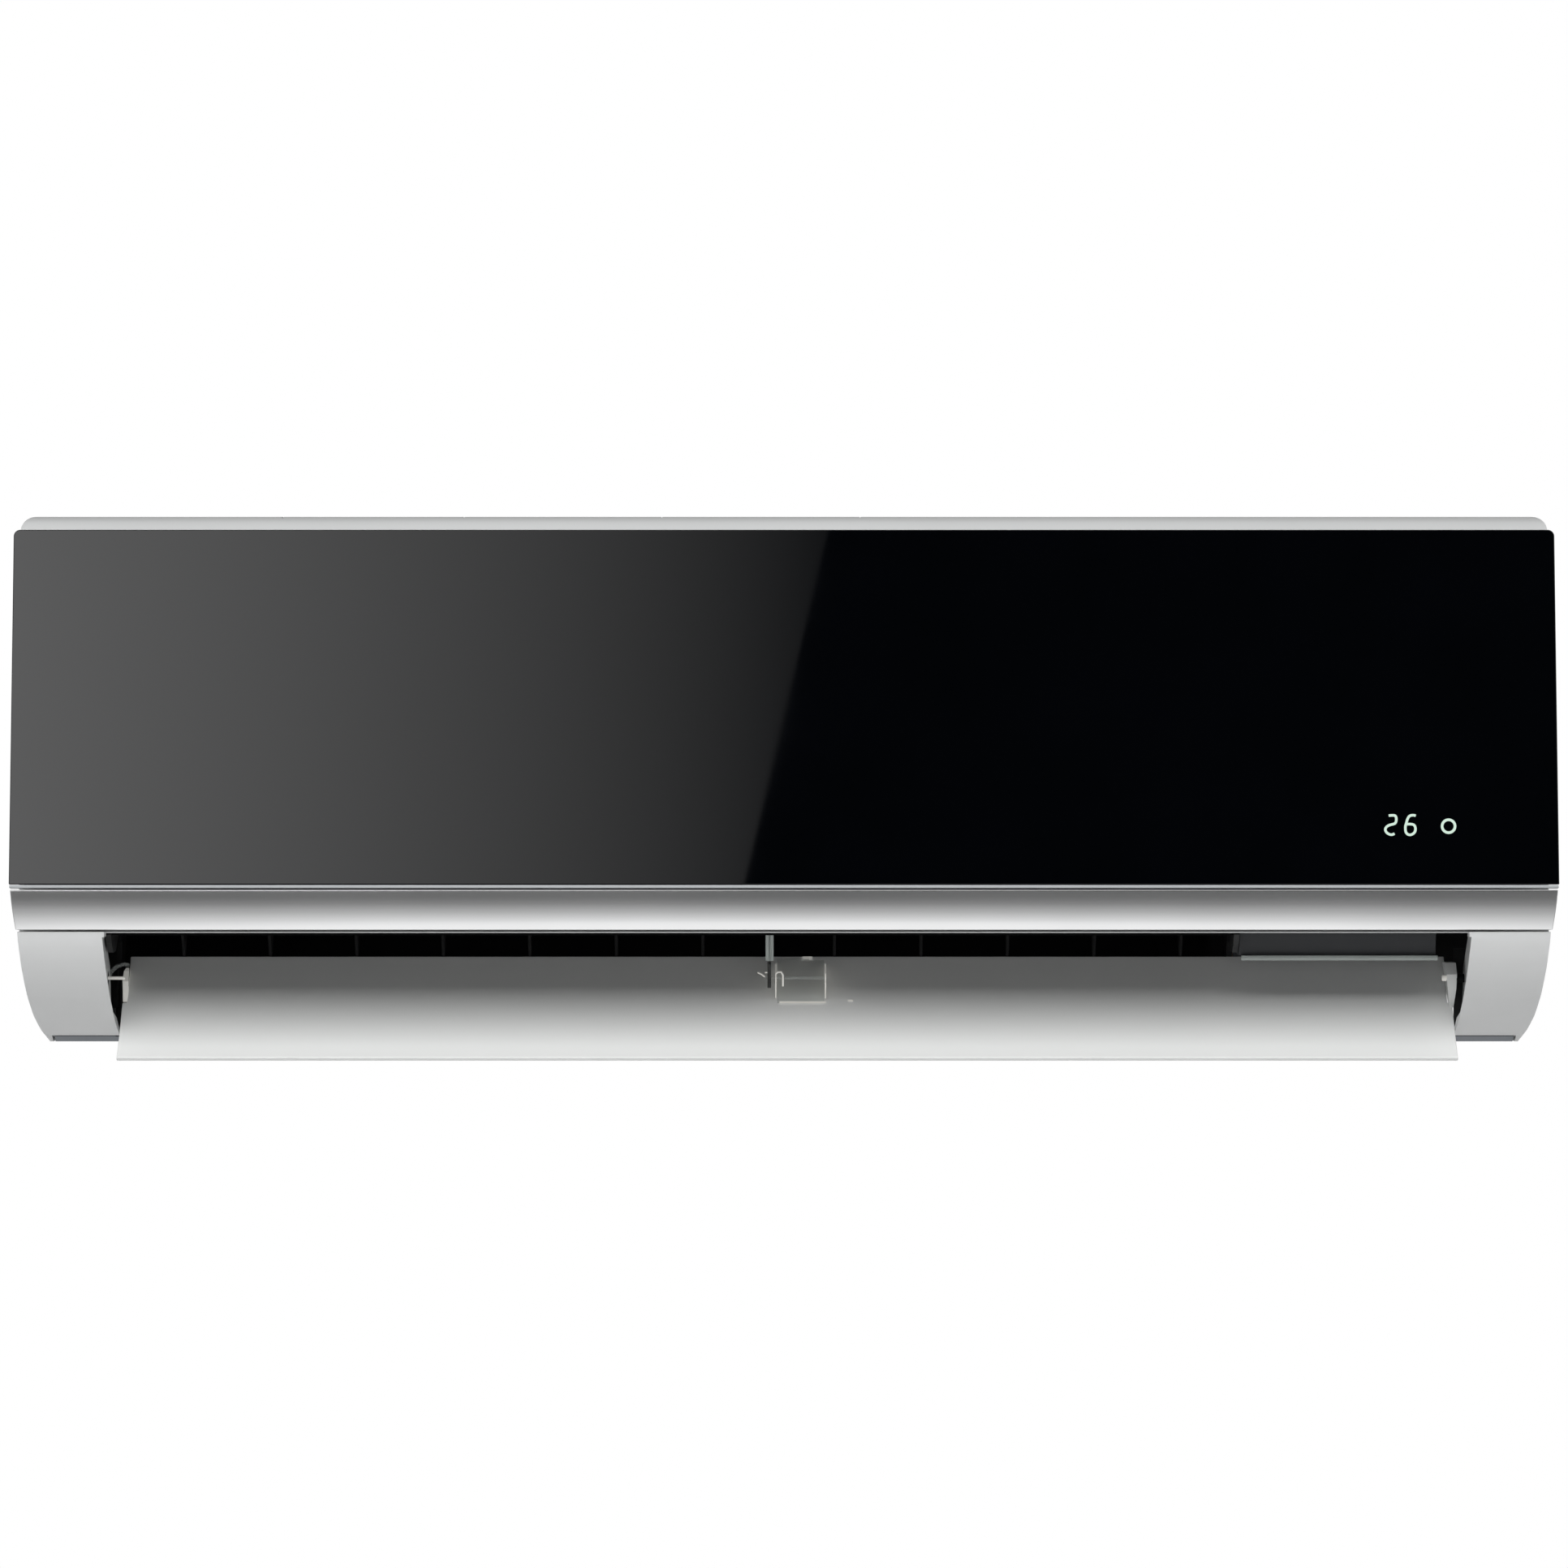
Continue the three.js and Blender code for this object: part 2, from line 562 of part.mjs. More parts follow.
function fanWheel() {
  const blades = 20;
  const pieces = [];
  for (let i = 0; i < blades; i++) {
    pieces.push(alongX(blade((i * 360) / blades), FAN.left + 1, FAN.right - 1));
  }
  const bays = 3;
  for (let i = 1; i < bays; i++) {
    const x = FAN.left + ((FAN.right - FAN.left) * i) / bays;
    const ring = turned([[x - 1, 33], [x - 1, 45.4], [x + 1, 45.4], [x + 1, 33], [x - 1, 33]], 0, 0, 20);
    pieces.push(ring);
  }
  pieces.push(turned([[FAN.left - 8, 0], [FAN.left - 8, 3], [FAN.left, 3], [FAN.left, 45.4],
    [FAN.left + 2, 45.4], [FAN.left + 2, 0]], 0, 0, 20));
  const hub = turned([[FAN.right - 26, 0], [FAN.right - 26, 9], [FAN.right - 2, 14],
    [FAN.right - 2, 45.4], [FAN.right, 45.4], [FAN.right, 0]], 0, 0, 20);
  const wheel = join(...pieces, hub);
  return cut(wheel, rod("x", FAN.right - 30, FAN.right + 2, 0, 0, 4.4, 14));
}

function fanMotor() {
  const profile = [[264, 12], [266, 12], [268, 30], [274, 37], [320, 37], [326, 30], [330, 14], [334, 14],
    [334, 4.6], [264, 4.6], [264, 12]];
  return turned(profile, FAN.y, FAN.z, 20);
}

function motorClamp() {
  const shape = new THREE.Shape();
  shape.absarc(FAN.y, FAN.z, 41.5, 0, Math.PI);
  shape.lineTo(FAN.y - 41.5, FAN.z - 2);
  shape.lineTo(FAN.y - 38, FAN.z - 2);
  shape.absarc(FAN.y, FAN.z, 38, Math.PI, 0, true);
  shape.lineTo(FAN.y + 38, FAN.z - 2);
  shape.lineTo(FAN.y + 41.5, FAN.z - 2);
  return alongX(shape, 286, 308, 12);
}

function bearingHolder() {
  return turned([[-378, 6.3], [-378, 13], [-374.4, 13], [-374.4, 9.6], [-369.5, 9.6], [-369.5, 6.3],
    [-378, 6.3]], FAN.y, FAN.z, 18);
}

function fanBearing() {
  return turned([[-376.5, 3.4], [-376.5, 6], [-370, 6], [-370, 3.4], [-376.5, 3.4]], FAN.y, FAN.z, 18);
}

// ---------------------------------------------------------------- heat exchanger

const COILS = {
  evaporator_front: { y: -157.4, z: -42, lean: 0, length: 88 },
  evaporator_top: { y: -156.6, z: 55.5, lean: THREE.MathUtils.degToRad(-40.7), length: 73 },
  evaporator_rear: { y: -37, z: 25, lean: THREE.MathUtils.degToRad(31), length: 101 },
};

function finBlock(length) {
  const pitch = (COIL.right - COIL.left) / COIL.fins;
  const groove = 2.5;
  const points = [[COIL.right, COIL.half], [COIL.left, COIL.half]];
  for (let i = 0; i < COIL.fins; i++) {
    const x = COIL.left + i * pitch;
    points.push([x, -COIL.half], [x + pitch * 0.6, -COIL.half]);
    if (i < COIL.fins - 1) {
      points.push([x + pitch * 0.6, groove - COIL.half], [x + pitch, groove - COIL.half]);
    }
  }
  points.push([COIL.right, -COIL.half]);
  return alongZ(polygon(points), 0, length);
}

function returnBend(coil, along, x, side) {
  const reach = 14 * side;
  const route = new Route([[x - side, 0, along - 9], [x + reach, 0, along - 9], [x + reach, 0, along + 9],
    [x - side, 0, along + 9]], 8.9, 3);
  return tube(route, 3.4, 6).rotateX(coil.lean).translate(0, coil.y, coil.z);
}

function endPlate(x, side) {
  const plates = Object.values(COILS).map((coil) => {
    const plate = block(x - 0.8, x + 0.8, -COIL.half - 0.3, COIL.half + 0.8, -0.5, coil.length + 3);
    return plate.rotateX(coil.lean).translate(0, coil.y, coil.z);
  });
  const [front, top, rear] = Object.values(COILS);
  return join(
    ...plates,
    block(x - 0.8, x + 0.8, -160, -149, 44, 60),
    block(x - 0.8, x + 0.8, -112, -88, 104, 114),
    returnBend(front, 44, x, side),
    returnBend(top, 36, x, side),
    returnBend(rear, 76, x, side),
  );
}

// ---------------------------------------------------------------- pipes

const GAS = { radius: 4.8, nut: 11, bore: 5.3 };
const LIQUID = { radius: 3.2, nut: 8.6, bore: 3.7 };

function gasPipe() {
  const start = COIL.right + 4;
  return tube(new Route([[start, -46, 44], [300, -46, 44], [300, -32, -122], [-150, -32, -122]], 16), GAS.radius);
}

function liquidPipe() {
  const start = COIL.right + 4;
  return tube(new Route([[start, -56, 61], [316, -56, 61], [316, -46, -98], [-110, -46, -98]], 12), LIQUID.radius);
}

function flareNut(x, y, z, radius, bore) {
  const body = rod("x", x - 18, x, y, z, radius, 6);
  return cut(join(body, rod("x", x - 2, x + 5, y, z, radius * 0.75, 12)), rod("x", x - 20, x + 7, y, z, bore, 12));
}

function drainHose() {
  const start = DUCT_LEFT - 14.5;
  const route = new Route([[start, -165, -62], [-398, -165, -62], [-398, -128, -92], [-398, -64, -128],
    [-360, -60, -130], [-250, -60, -132]], 11, 3);
  return tube(route, 7.5, 8, 5.5);
}

function pipeClamp() {
  const strap = block(40, 56, -54, -15.4, -133, -90);
  return cut(
    strap,
    rod("x", 36, 60, -32, -122, GAS.bore, 12),
    rod("x", 36, 60, -46, -98, LIQUID.bore, 12),
    block(36, 60, -60, -40, -128, -116),
    block(36, 60, -60, -32, -126.5, -117.5),
  );
}

// ---------------------------------------------------------------- filters, electrics, wall plate

function filter(x0, x1) {
  const path = [[-170.3, -33], [-170.3, 61], [-120, 129], [-66, 138]];
  const sheet = alongX(ribbon(path, 0.7), x0, x1);
  const frame = alongX(ribbon(path, 1.8), x0, x1);
  const openings = [];
  const columns = 4;
  const pitch = (x1 - x0 - 6) / columns;
  for (let column = 0; column < columns; column++) {
    const left = x0 + 6 + column * pitch;
    const right = left + pitch - 6;
    openings.push(block(left, right, -172, -160, -27, 12), block(left, right, -172, -160, 17, 57));
    for (const [low, high] of [[8, 40], [45, 80]]) {
      const sloped = block(left, right, -6, 6, low, high).rotateX(-Math.atan2(50.3, 68));
      openings.push(sloped.translate(0, -170.3, 61));
    }
  }
  return join(sheet, cut(frame, ...openings));
}

function openTray(x0, x1, y0, y1, z0, z1, wall) {
  return cut(block(x0, x1, y0, y1, z0, z1), block(x0 + wall, x1 - wall, y0 - 1, y1 - wall, z0 + wall, z1 - wall));
}

function controlBox() {
  return cut(openTray(262, 408, -168, -141, -6, 106, 2), block(380, 396, -150, -130, 40, 60));
}

function controlBoard() {
  return join(
    block(266, 404, -147, -145.4, -2, 102),
    block(280, 310, -160, -146, 20, 46),
    block(330, 352, -158, -146, 60, 84),
    rod("y", -163, -146, 300, 78, 9, 14),
    block(360, 396, -154, -146, 6, 26),
  );
}

function boxCover() {
  const plate = block(263, 407, -170.6, -168.4, -5, 105);
  const vents = [];
  for (let i = 0; i < 6; i++) {
    vents.push(block(276 + i * 9, 280 + i * 9, -172, -166, 70, 94));
  }
  return cut(plate, ...vents);
}

function terminalBlock() {
  const body = block(330, 386, -168, -148, -44, -16);
  const bays = [0, 1, 2, 3].map((i) => block(334 + i * 13, 344 + i * 13, -170, -156, -39, -21));
  return cut(body, ...bays);
}


function manualButton() {
  return join(rod("y", -184.5, -174, 397, -25, 3.8, 16), rod("y", -175.7, -173.5, 397, -25, 5.2, 16));
}

function wallPlate() {
  const sheet = polygon([
    [-380, -90], [-360, -110], [360, -110], [380, -90], [380, 84], [350, 104], [-350, 104], [-380, 84],
  ]);
  const ridge = (x0, x1, z) => cut(block(x0, x1, -7, 0, z - 8, z + 8), block(x0 + 3, x1 - 3, -5.4, 1, z - 6, z + 6));
  const hook = (x) => alongX(polygon([[0, 100], [0, 109.5], [-16, 109.5], [-16, 118], [-17.5, 118], [-17.5, 108],
    [-1.5, 108], [-1.5, 100]]), x - 14, x + 14);
  const clip = (x) => alongX(polygon([[0, -104], [-9, -112], [-9, -115], [0, -113]]), x - 12, x + 12);
  const holes = [];
  for (const x of [-350, -40, 40, 350]) {
    for (const z of [-76, 86]) holes.push(rod("y", -3, 2, x, z, 2.8, 8));
  }
  const plate = cut(
    alongY(sheet, -1.5, 0),
    block(-310, -70, -3, 2, -34, 44),
    block(70, 310, -3, 2, -34, 44),
    block(-337, 337, -3, 2, 59.5, 68.5),
    block(-337, 337, -3, 2, -64.5, -55.5),
    ...holes,
  );
  return join(plate, ridge(-345, 345, 64), ridge(-345, 345, -60), hook(-250), hook(250), clip(-300), clip(300));
}

// ---------------------------------------------------------------- assembly

const unit = new THREE.Group();

function add(name, geometry, finish, parent = unit) {
  const mesh = new THREE.Mesh(geometry, new THREE.MeshStandardMaterial(FINISH[finish]));
  mesh.name = name;
  parent.add(mesh);
  return mesh;
}

function addCasing() {
  add("front_frame", frontFrame(), "casing");
  add("top_grille", topGrille(), "casing");
  add("rear_chassis", rearChassis(), "dark");
  add("drain_tray", drainTray(), "dark");
  add("outlet_blank", outletBlank(), "blank");
  add("louver_bracket", louverBracket(), "blank");
  add("wall_plate", wallPlate(), "galvanised");
}

function addPanel() {
  const panel = new THREE.Group();
  panel.position.set(0, GLASS_TOP.y, GLASS_TOP.z);
  panel.rotation.x = GLASS_TILT;
  add("glass_panel", glassPanel(), "blackGlass", panel);
  add("panel_carrier", panelCarrier(), "dark", panel);
  add("panel_edge_strip", panelEdgeStrip(), "clearEdge", panel);
  add("silver_trim", silverTrim(), "silver", panel);
  add("display_mask", displayMask(), "blank", panel);
  add("display_board", displayBoard(), "board", panel);
  unit.add(panel);
}

function addAirOutlet() {
  const blade = add("louver", louver(), "louver");
  blade.position.set(0, PIVOT.y, PIVOT.z);
  blade.rotation.x = LOUVER_OPEN;
  const right = LOUVER.centre + LOUVER.half;
  const motor = turned([[right + 12, 0], [right + 12, 12], [right + 30, 12], [right + 30, 0]], PIVOT.y, PIVOT.z, 20);
  add("louver_motor", motor, "galvanised");
  const bank = new THREE.Group();
  bank.position.set(0, VANE_ORIGIN.y, VANE_ORIGIN.z);
  bank.rotation.x = Math.PI + VANE_LEAN;
  const addBank = (side, places) => {
    places.forEach((x, i) => {
      add(`vane_${side}_${i + 1}`, vane(), "dark", bank).position.x = x;
    });
    add(`link_${side}`, linkBar(places), "dark", bank);
  };
  addBank("left", VANE_LEFT_X);
  addBank("right", VANE_RIGHT_X);
  unit.add(bank);
}

function addFan() {
  add("fan_wheel", fanWheel(), "dark").position.set(0, FAN.y, FAN.z);
  add("fan_shaft", rod("x", FAN.right - 22, 332, FAN.y, FAN.z, 4, 12), "steel");
  add("fan_motor", fanMotor(), "galvanised");
  add("motor_clamp", motorClamp(), "inner");
  add("bearing_holder", bearingHolder(), "rubber");
  add("fan_bearing", fanBearing(), "brass");
}

function addHeatExchanger() {
  for (const [name, coil] of Object.entries(COILS)) {
    const slab = add(name, finBlock(coil.length), "aluminium");
    slab.position.set(0, coil.y, coil.z);
    slab.rotation.x = coil.lean;
  }
  add("evaporator_end_left", endPlate(COIL.left - 1.2, -1), "copper");
  add("evaporator_end_right", endPlate(COIL.right + 1.2, 1), "copper");
  add("gas_pipe", gasPipe(), "copper");
  add("liquid_pipe", liquidPipe(), "copper");
  add("gas_nut", flareNut(-120, -32, -122, GAS.nut, GAS.bore), "brass");
  add("liquid_nut", flareNut(-80, -46, -98, LIQUID.nut, LIQUID.bore), "brass");
  add("pipe_clamp", pipeClamp(), "inner");
  add("drain_hose", drainHose(), "hose");
  add("drain_plug", turned([[250, 0], [250, 3.7], [260.4, 3.9], [260.4, 7.5], [264, 7.5], [264, 0]], -165, -62, 14),
    "rubber");
}

function addElectrics() {
  add("filter_left", filter(-386, -76), "filter");
  add("filter_right", filter(-70, 230), "filter");
  add("control_box", controlBox(), "inner");
  add("control_board", controlBoard(), "board");
  add("control_box_cover", boxCover(), "inner");
  add("terminal_block", terminalBlock(), "blank");
  add("manual_button", manualButton(), "inner");
}

addCasing();
addPanel();
addAirOutlet();
addFan();
addHeatExchanger();
addElectrics();

export default unit;
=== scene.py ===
import math

import bmesh
import bpy
from mathutils import Matrix, Vector


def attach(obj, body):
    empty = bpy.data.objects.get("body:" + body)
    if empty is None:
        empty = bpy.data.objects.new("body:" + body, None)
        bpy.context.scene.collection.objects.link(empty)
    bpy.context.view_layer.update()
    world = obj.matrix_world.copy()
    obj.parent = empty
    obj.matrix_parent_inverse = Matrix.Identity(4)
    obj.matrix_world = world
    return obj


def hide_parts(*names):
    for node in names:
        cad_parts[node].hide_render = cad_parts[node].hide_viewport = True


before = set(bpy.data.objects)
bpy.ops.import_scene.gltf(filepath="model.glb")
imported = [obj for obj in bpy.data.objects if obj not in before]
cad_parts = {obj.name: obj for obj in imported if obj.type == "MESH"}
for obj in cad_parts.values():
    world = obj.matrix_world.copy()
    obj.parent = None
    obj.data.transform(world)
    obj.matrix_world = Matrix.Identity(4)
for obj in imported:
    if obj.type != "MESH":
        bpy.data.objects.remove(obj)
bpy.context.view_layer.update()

bl_info = {
    "name": "Mini split indoor unit",
    "version": (1, 0, 0),
    "blender": (4, 5, 0),
    "location": "3D View > Sidebar > Indoor Unit",
    "description": "Dresses a wall-mounted air conditioner and builds the studio round it",
    "category": "Object",
}

MM = 0.001

# Places taken from the CAD model, in millimetres: X right, Y into the wall, Z up.
GLASS_TOP = Vector((0, -187.0, 137.6))  # top front edge of the glass
GLASS_TILT = -math.atan2(13, 194.9)  # its foot stands 13 mm further out
GLASS_WIDTH = 850
GLASS_HEIGHT = 195.3
GLASS_THICKNESS = 4
GLASS_CORNER = 3.6  # radius of its two upper corners
GLASS_DRAW = 1.6  # how much further in its top is at each end than its foot
LOUVER_PIVOT = Vector((0, -140.0, -110.0))
LOUVER_OPEN = math.radians(79)
LOUVER_LEFT = -368.2
LOUVER_RIGHT = 371.8
DISPLAY_MIDDLE = -162.6  # height of the digits' middle, down the glass

# The photograph: 1932 pixels square, 0.4455 mm to a pixel at the glass.
CAMERA_DISTANCE = 4.5
PICTURE_WIDTH = 0.8607
GLASS_Y = -0.193
# Where the light mirrored in the glass ends, as X and Z in metres: at the glass's top and at its foot.
MIRRORED_EDGE = ((0.0238, 0.1375), (-0.0220, -0.0575))
CARD_DISTANCE = 4.0  # from the glass to the cards that it mirrors


# ------------------------------------------------------------------ settings


class UnitFinish(bpy.types.PropertyGroup):
    casing_colour: bpy.props.FloatVectorProperty(
        name="Casing", description="Colour of the moulded casing", subtype="COLOR",
        default=(0.70, 0.71, 0.71))
    louver_colour: bpy.props.FloatVectorProperty(
        name="Louver", description="Colour of the air louver", subtype="COLOR", default=(0.80, 0.81, 0.80))
    silver_colour: bpy.props.FloatVectorProperty(
        name="Silver trim", description="Colour of the painted trim", subtype="COLOR",
        default=(0.90, 0.905, 0.91))
    display_colour: bpy.props.FloatVectorProperty(
        name="Display", description="Colour of the lit digits", subtype="COLOR", default=(0.74, 0.93, 0.80))
    display_strength: bpy.props.FloatProperty(
        name="Display light", description="Strength of the lit digits", default=0.92, min=0.0)


class UnitShape(bpy.types.PropertyGroup):
    soft_edge: bpy.props.FloatProperty(
        name="Soft edge", description="Radius on the edges of the casing", default=0.0006, unit="LENGTH")
    glass_arris: bpy.props.FloatProperty(
        name="Glass arris", description="Width of the glass's ground edge", default=0.0005, unit="LENGTH")
    stroke_width: bpy.props.FloatProperty(
        name="Digit stroke", description="Width of the display's strokes", default=0.00145, unit="LENGTH")


class UnitStudio(bpy.types.PropertyGroup):
    key_power: bpy.props.FloatProperty(
        name="Key light", description="Power of the light above the front", default=125.0, unit="POWER")
    low_share: bpy.props.FloatProperty(
        name="Low light", description="Power of the small light, as a share of the key", default=0.075)
    fill_level: bpy.props.FloatProperty(
        name="Fill", description="Even light from all round", default=0.15, min=0.0)
    floor_height: bpy.props.FloatProperty(
        name="Floor", description="Height of the floor", default=-0.75, unit="LENGTH")


# ------------------------------------------------------------------ making pieces


def metres(x, y, z):
    return Vector((x, y, z)) * MM


def on_panel(x, y, z):
    """A point given on the tilted front panel, in millimetres, as a place in metres."""
    return (Matrix.Rotation(GLASS_TILT, 3, "X") @ Vector((x, y, z)) + GLASS_TOP) * MM


def on_louver(x, y, z):
    """A point of the closed louver, in millimetres about its pivot, as a place on the open one."""
    return (Matrix.Rotation(LOUVER_OPEN, 3, "X") @ Vector((x, y, z)) + LOUVER_PIVOT) * MM


def clear_selection():
    if bpy.context.mode != "OBJECT":
        bpy.ops.object.mode_set(mode="OBJECT")
    bpy.ops.object.select_all(action="DESELECT")


def make_only(piece):
    clear_selection()
    piece.select_set(True)
    bpy.context.view_layer.objects.active = piece


def fix_place():
    """Applies the active object's place, turn and size to its mesh."""
    bpy.ops.object.transform_apply(location=True, rotation=True, scale=True)


def named(piece, name):
    piece.name = name
    piece.data.name = name
    return piece


def pick(mesh, test):
    """In edit mode, selects the vertices for which test is true, and the edges and faces between them."""
    shape = bmesh.from_edit_mesh(mesh)
    for face in shape.faces:
        face.select_set(False)
    for vertex in shape.verts:
        vertex.select_set(test(vertex.co))
    shape.select_flush(True)
    bmesh.update_edit_mesh(mesh)


def apply_modifier(piece, kind, **settings):
    modifier = piece.modifiers.new(kind.title(), kind)
    for key, value in settings.items():
        setattr(modifier, key, value)
    make_only(piece)
    bpy.ops.object.modifier_apply(modifier=modifier.name)


def soften(piece, width, segments=3, angle=30):
    """Rounds the piece's sharp edges and shades its faces smoothly."""
    if width:
        apply_modifier(piece, "BEVEL", width=width, segments=segments, limit_method="ANGLE",
                       angle_limit=math.radians(angle), use_clamp_overlap=True)
    make_only(piece)
    bpy.ops.object.shade_smooth_by_angle(angle=math.radians(35))
    apply_modifier(piece, "WEIGHTED_NORMAL", weight=100, keep_sharp=True)


def extruded_section(name, stations):
    """A bar along X: an edge is extruded from station to station round a section, and the ends filled.

    A station is (low X, high X, Y, Z) in metres.
    """
    clear_selection()
    bpy.ops.mesh.primitive_plane_add(size=1)
    piece = named(bpy.context.object, name)
    bpy.ops.object.mode_set(mode="EDIT")
    pick(piece.data, lambda place: place.y > 0)
    bpy.ops.mesh.delete(type="VERT")
    bpy.ops.mesh.select_all(action="SELECT")
    low, high, y, z = stations[0]
    bpy.ops.transform.resize(value=(high - low, 1, 1))
    bpy.ops.transform.translate(value=((low + high) / 2, y + 0.5, z))
    ring = list(stations) + [stations[0]]
    for start, end in zip(ring, ring[1:]):
        shift = ((end[0] + end[1] - start[0] - start[1]) / 2, end[2] - start[2], end[3] - start[3])
        bpy.ops.mesh.extrude_region_move(TRANSFORM_OT_translate={"value": shift})
        ratio = (end[1] - end[0]) / (start[1] - start[0])
        if abs(ratio - 1) > 1e-6:
            bpy.ops.transform.resize(value=(ratio, 1, 1))
    bpy.ops.mesh.select_all(action="SELECT")
    bpy.ops.mesh.remove_doubles(threshold=1e-6)
    for side in (-1, 1):
        ends = {round(station[0 if side < 0 else 1], 7) for station in stations}
        pick(piece.data, lambda place: any(abs(place.x - end) < 2e-7 for end in ends))
        bpy.ops.mesh.edge_face_add()
    bpy.ops.mesh.select_all(action="SELECT")
    bpy.ops.mesh.normals_make_consistent(inside=False)
    bpy.ops.object.mode_set(mode="OBJECT")
    return piece


def bar(name, low, high, section, put=metres):
    """A bar along X with straight ends, in millimetres; put turns its section's (Y, Z) to metres."""
    return extruded_section(name, [(low * MM, high * MM, *put(0, y, z)[1:]) for y, z in section])


def curve_points(start, control, end, steps):
    """Points of a quadratic curve in (Y, Z)."""
    points = []
    for i in range(steps + 1):
        t = i / steps
        points.append(tuple((1 - t) ** 2 * a + 2 * t * (1 - t) * b + t * t * c
                            for a, b, c in zip(start, control, end)))
    return points


def tube(name, points, radius, sides=16, swell=None):
    """A round bar along smooth points in metres; swell(i) scales its radius at point i."""
    curve = bpy.data.curves.new(name, "CURVE")
    curve.dimensions = "3D"
    curve.bevel_depth = radius
    curve.bevel_resolution = sides // 4
    curve.use_fill_caps = True
    line = curve.splines.new("POLY")
    line.points.add(len(points) - 1)
    for i, (target, place) in enumerate(zip(line.points, points)):
        target.co = (*place, 1)
        target.radius = swell(i) if swell else 1.0
    piece = bpy.data.objects.new(name, curve)
    bpy.context.scene.collection.objects.link(piece)
    make_only(piece)
    bpy.ops.object.convert(target="MESH")
    piece = named(bpy.context.object, name)
    bpy.ops.object.shade_smooth_by_angle(angle=math.radians(40))
    return piece


def routed(corners, radius, steps=8):
    """Straight runs in millimetres, joined by round bends, as points in metres."""
    corners = [Vector(corner) for corner in corners]
    points = [corners[0]]
    for before, here, after in zip(corners, corners[1:], corners[2:]):
        back = here + (before - here).normalized() * radius
        ahead = here + (after - here).normalized() * radius
        for i in range(steps + 1):
            t = i / steps
            points.append(back * (1 - t) ** 2 + here * 2 * t * (1 - t) + ahead * t * t)
    points.append(corners[-1])
    return [point * MM for point in points]


def rounded(points, passes=2):
    """A path with each corner cut off, and the new corners again, so that it runs smoothly."""
    for _ in range(passes):
        path = [points[0]]
        for here, ahead in zip(points, points[1:]):
            path += [here.lerp(ahead, 0.25), here.lerp(ahead, 0.75)]
        points = [*path, points[-1]]
    return points


def evenly(points, step):
    """The same path with a point at every step along it."""
    path = []
    travelled = 0.0
    for here, ahead in zip(points, points[1:]):
        length = (ahead - here).length
        while travelled < length:
            path.append(here.lerp(ahead, travelled / length))
            travelled += step
        travelled -= length
    return [*path, points[-1]]


def depth_at(profile, height):
    """Y at which a rising profile of points (Y, Z) reaches a height."""
    for (y0, z0), (y1, z1) in zip(profile, profile[1:]):
        if z0 <= height <= z1:
            return y0 + (y1 - y0) * (height - z0) / (z1 - z0)
    return None


def merged_copy(name, node):
    """A copy of a CAD node's loose triangles, merged into one closed mesh with whole faces."""
    piece = bpy.data.objects.new(name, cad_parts[node].data.copy())
    piece.data.name = name
    bpy.context.scene.collection.objects.link(piece)
    make_only(piece)
    bpy.ops.object.mode_set(mode="EDIT")
    bpy.ops.mesh.select_all(action="SELECT")
    bpy.ops.mesh.remove_doubles(threshold=2e-6)
    bpy.ops.mesh.dissolve_limited(angle_limit=math.radians(0.3))
    bpy.ops.object.mode_set(mode="OBJECT")
    return piece


def refined(name, node, width, segments=2, angle=30):
    """A merged copy of a CAD node with soft edges and smooth curves, which stands for the node."""
    piece = merged_copy(name, node)
    soften(piece, width, segments, angle)
    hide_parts(node)
    return piece


def cut_away(piece, cutter):
    """Takes the cutter's shape out of the piece, and removes the cutter."""
    apply_modifier(piece, "BOOLEAN", operation="DIFFERENCE", object=cutter, solver="EXACT")
    bpy.data.objects.remove(cutter)


def plain_block(name, low, high):
    """A sharp-edged bar between two corners, in millimetres."""
    clear_selection()
    low, high = Vector(low) * MM, Vector(high) * MM
    bpy.ops.mesh.primitive_cube_add(size=1, location=(low + high) / 2)
    piece = named(bpy.context.object, name)
    piece.scale = high - low
    fix_place()
    return piece


def settle(piece, body, finish):
    """Gives a piece its finish and the body that it moves with."""
    piece.data.materials.clear()
    piece.data.materials.append(FINISHES[finish])
    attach(piece, body)
    return piece


# ------------------------------------------------------------------ finishes


FINISHES = {}  # every finish by its short name, filled by the first operator


def linear(colour):
    """An sRGB hex colour as linear red, green, blue and alpha."""
    parts = [int(colour[i:i + 2], 16) / 255 for i in (1, 3, 5)]
    return tuple(c / 12.92 if c <= 0.04045 else ((c + 0.055) / 1.055) ** 2.4 for c in parts) + (1.0,)


def darker(colour, amount):
    return tuple(c * (1 - amount) for c in colour[:3]) + (1.0,)


def add_node(tree, kind, settings=None, **inputs):
    """Adds a node, sets its own settings and fills or links its inputs by name or number."""
    node = tree.nodes.new("ShaderNode" + kind)
    for key, value in (settings or {}).items():
        setattr(node, key, value)
    for key, value in inputs.items():
        name = int(key[1:]) if key[0] == "_" and key[1:].isdigit() else key.replace("_", " ")
        if isinstance(value, bpy.types.NodeSocket):
            tree.links.new(value, node.inputs[name])
        else:
            node.inputs[name].default_value = value
    return node


def new_finish(name, **shader):
    """A material with a Principled shader, and the object's own coordinates in millimetres."""
    material = bpy.data.materials.new(name)
    material.use_nodes = True
    tree = material.node_tree
    tree.nodes.clear()
    surface = add_node(tree, "BsdfPrincipled", **shader)
    add_node(tree, "OutputMaterial", Surface=surface.outputs[0])
    at = add_node(tree, "TexCoord")
    place = add_node(tree, "Mapping", Vector=at.outputs["Object"], Scale=(1000, 1000, 1000))
    return material, tree, surface, place.outputs[0]


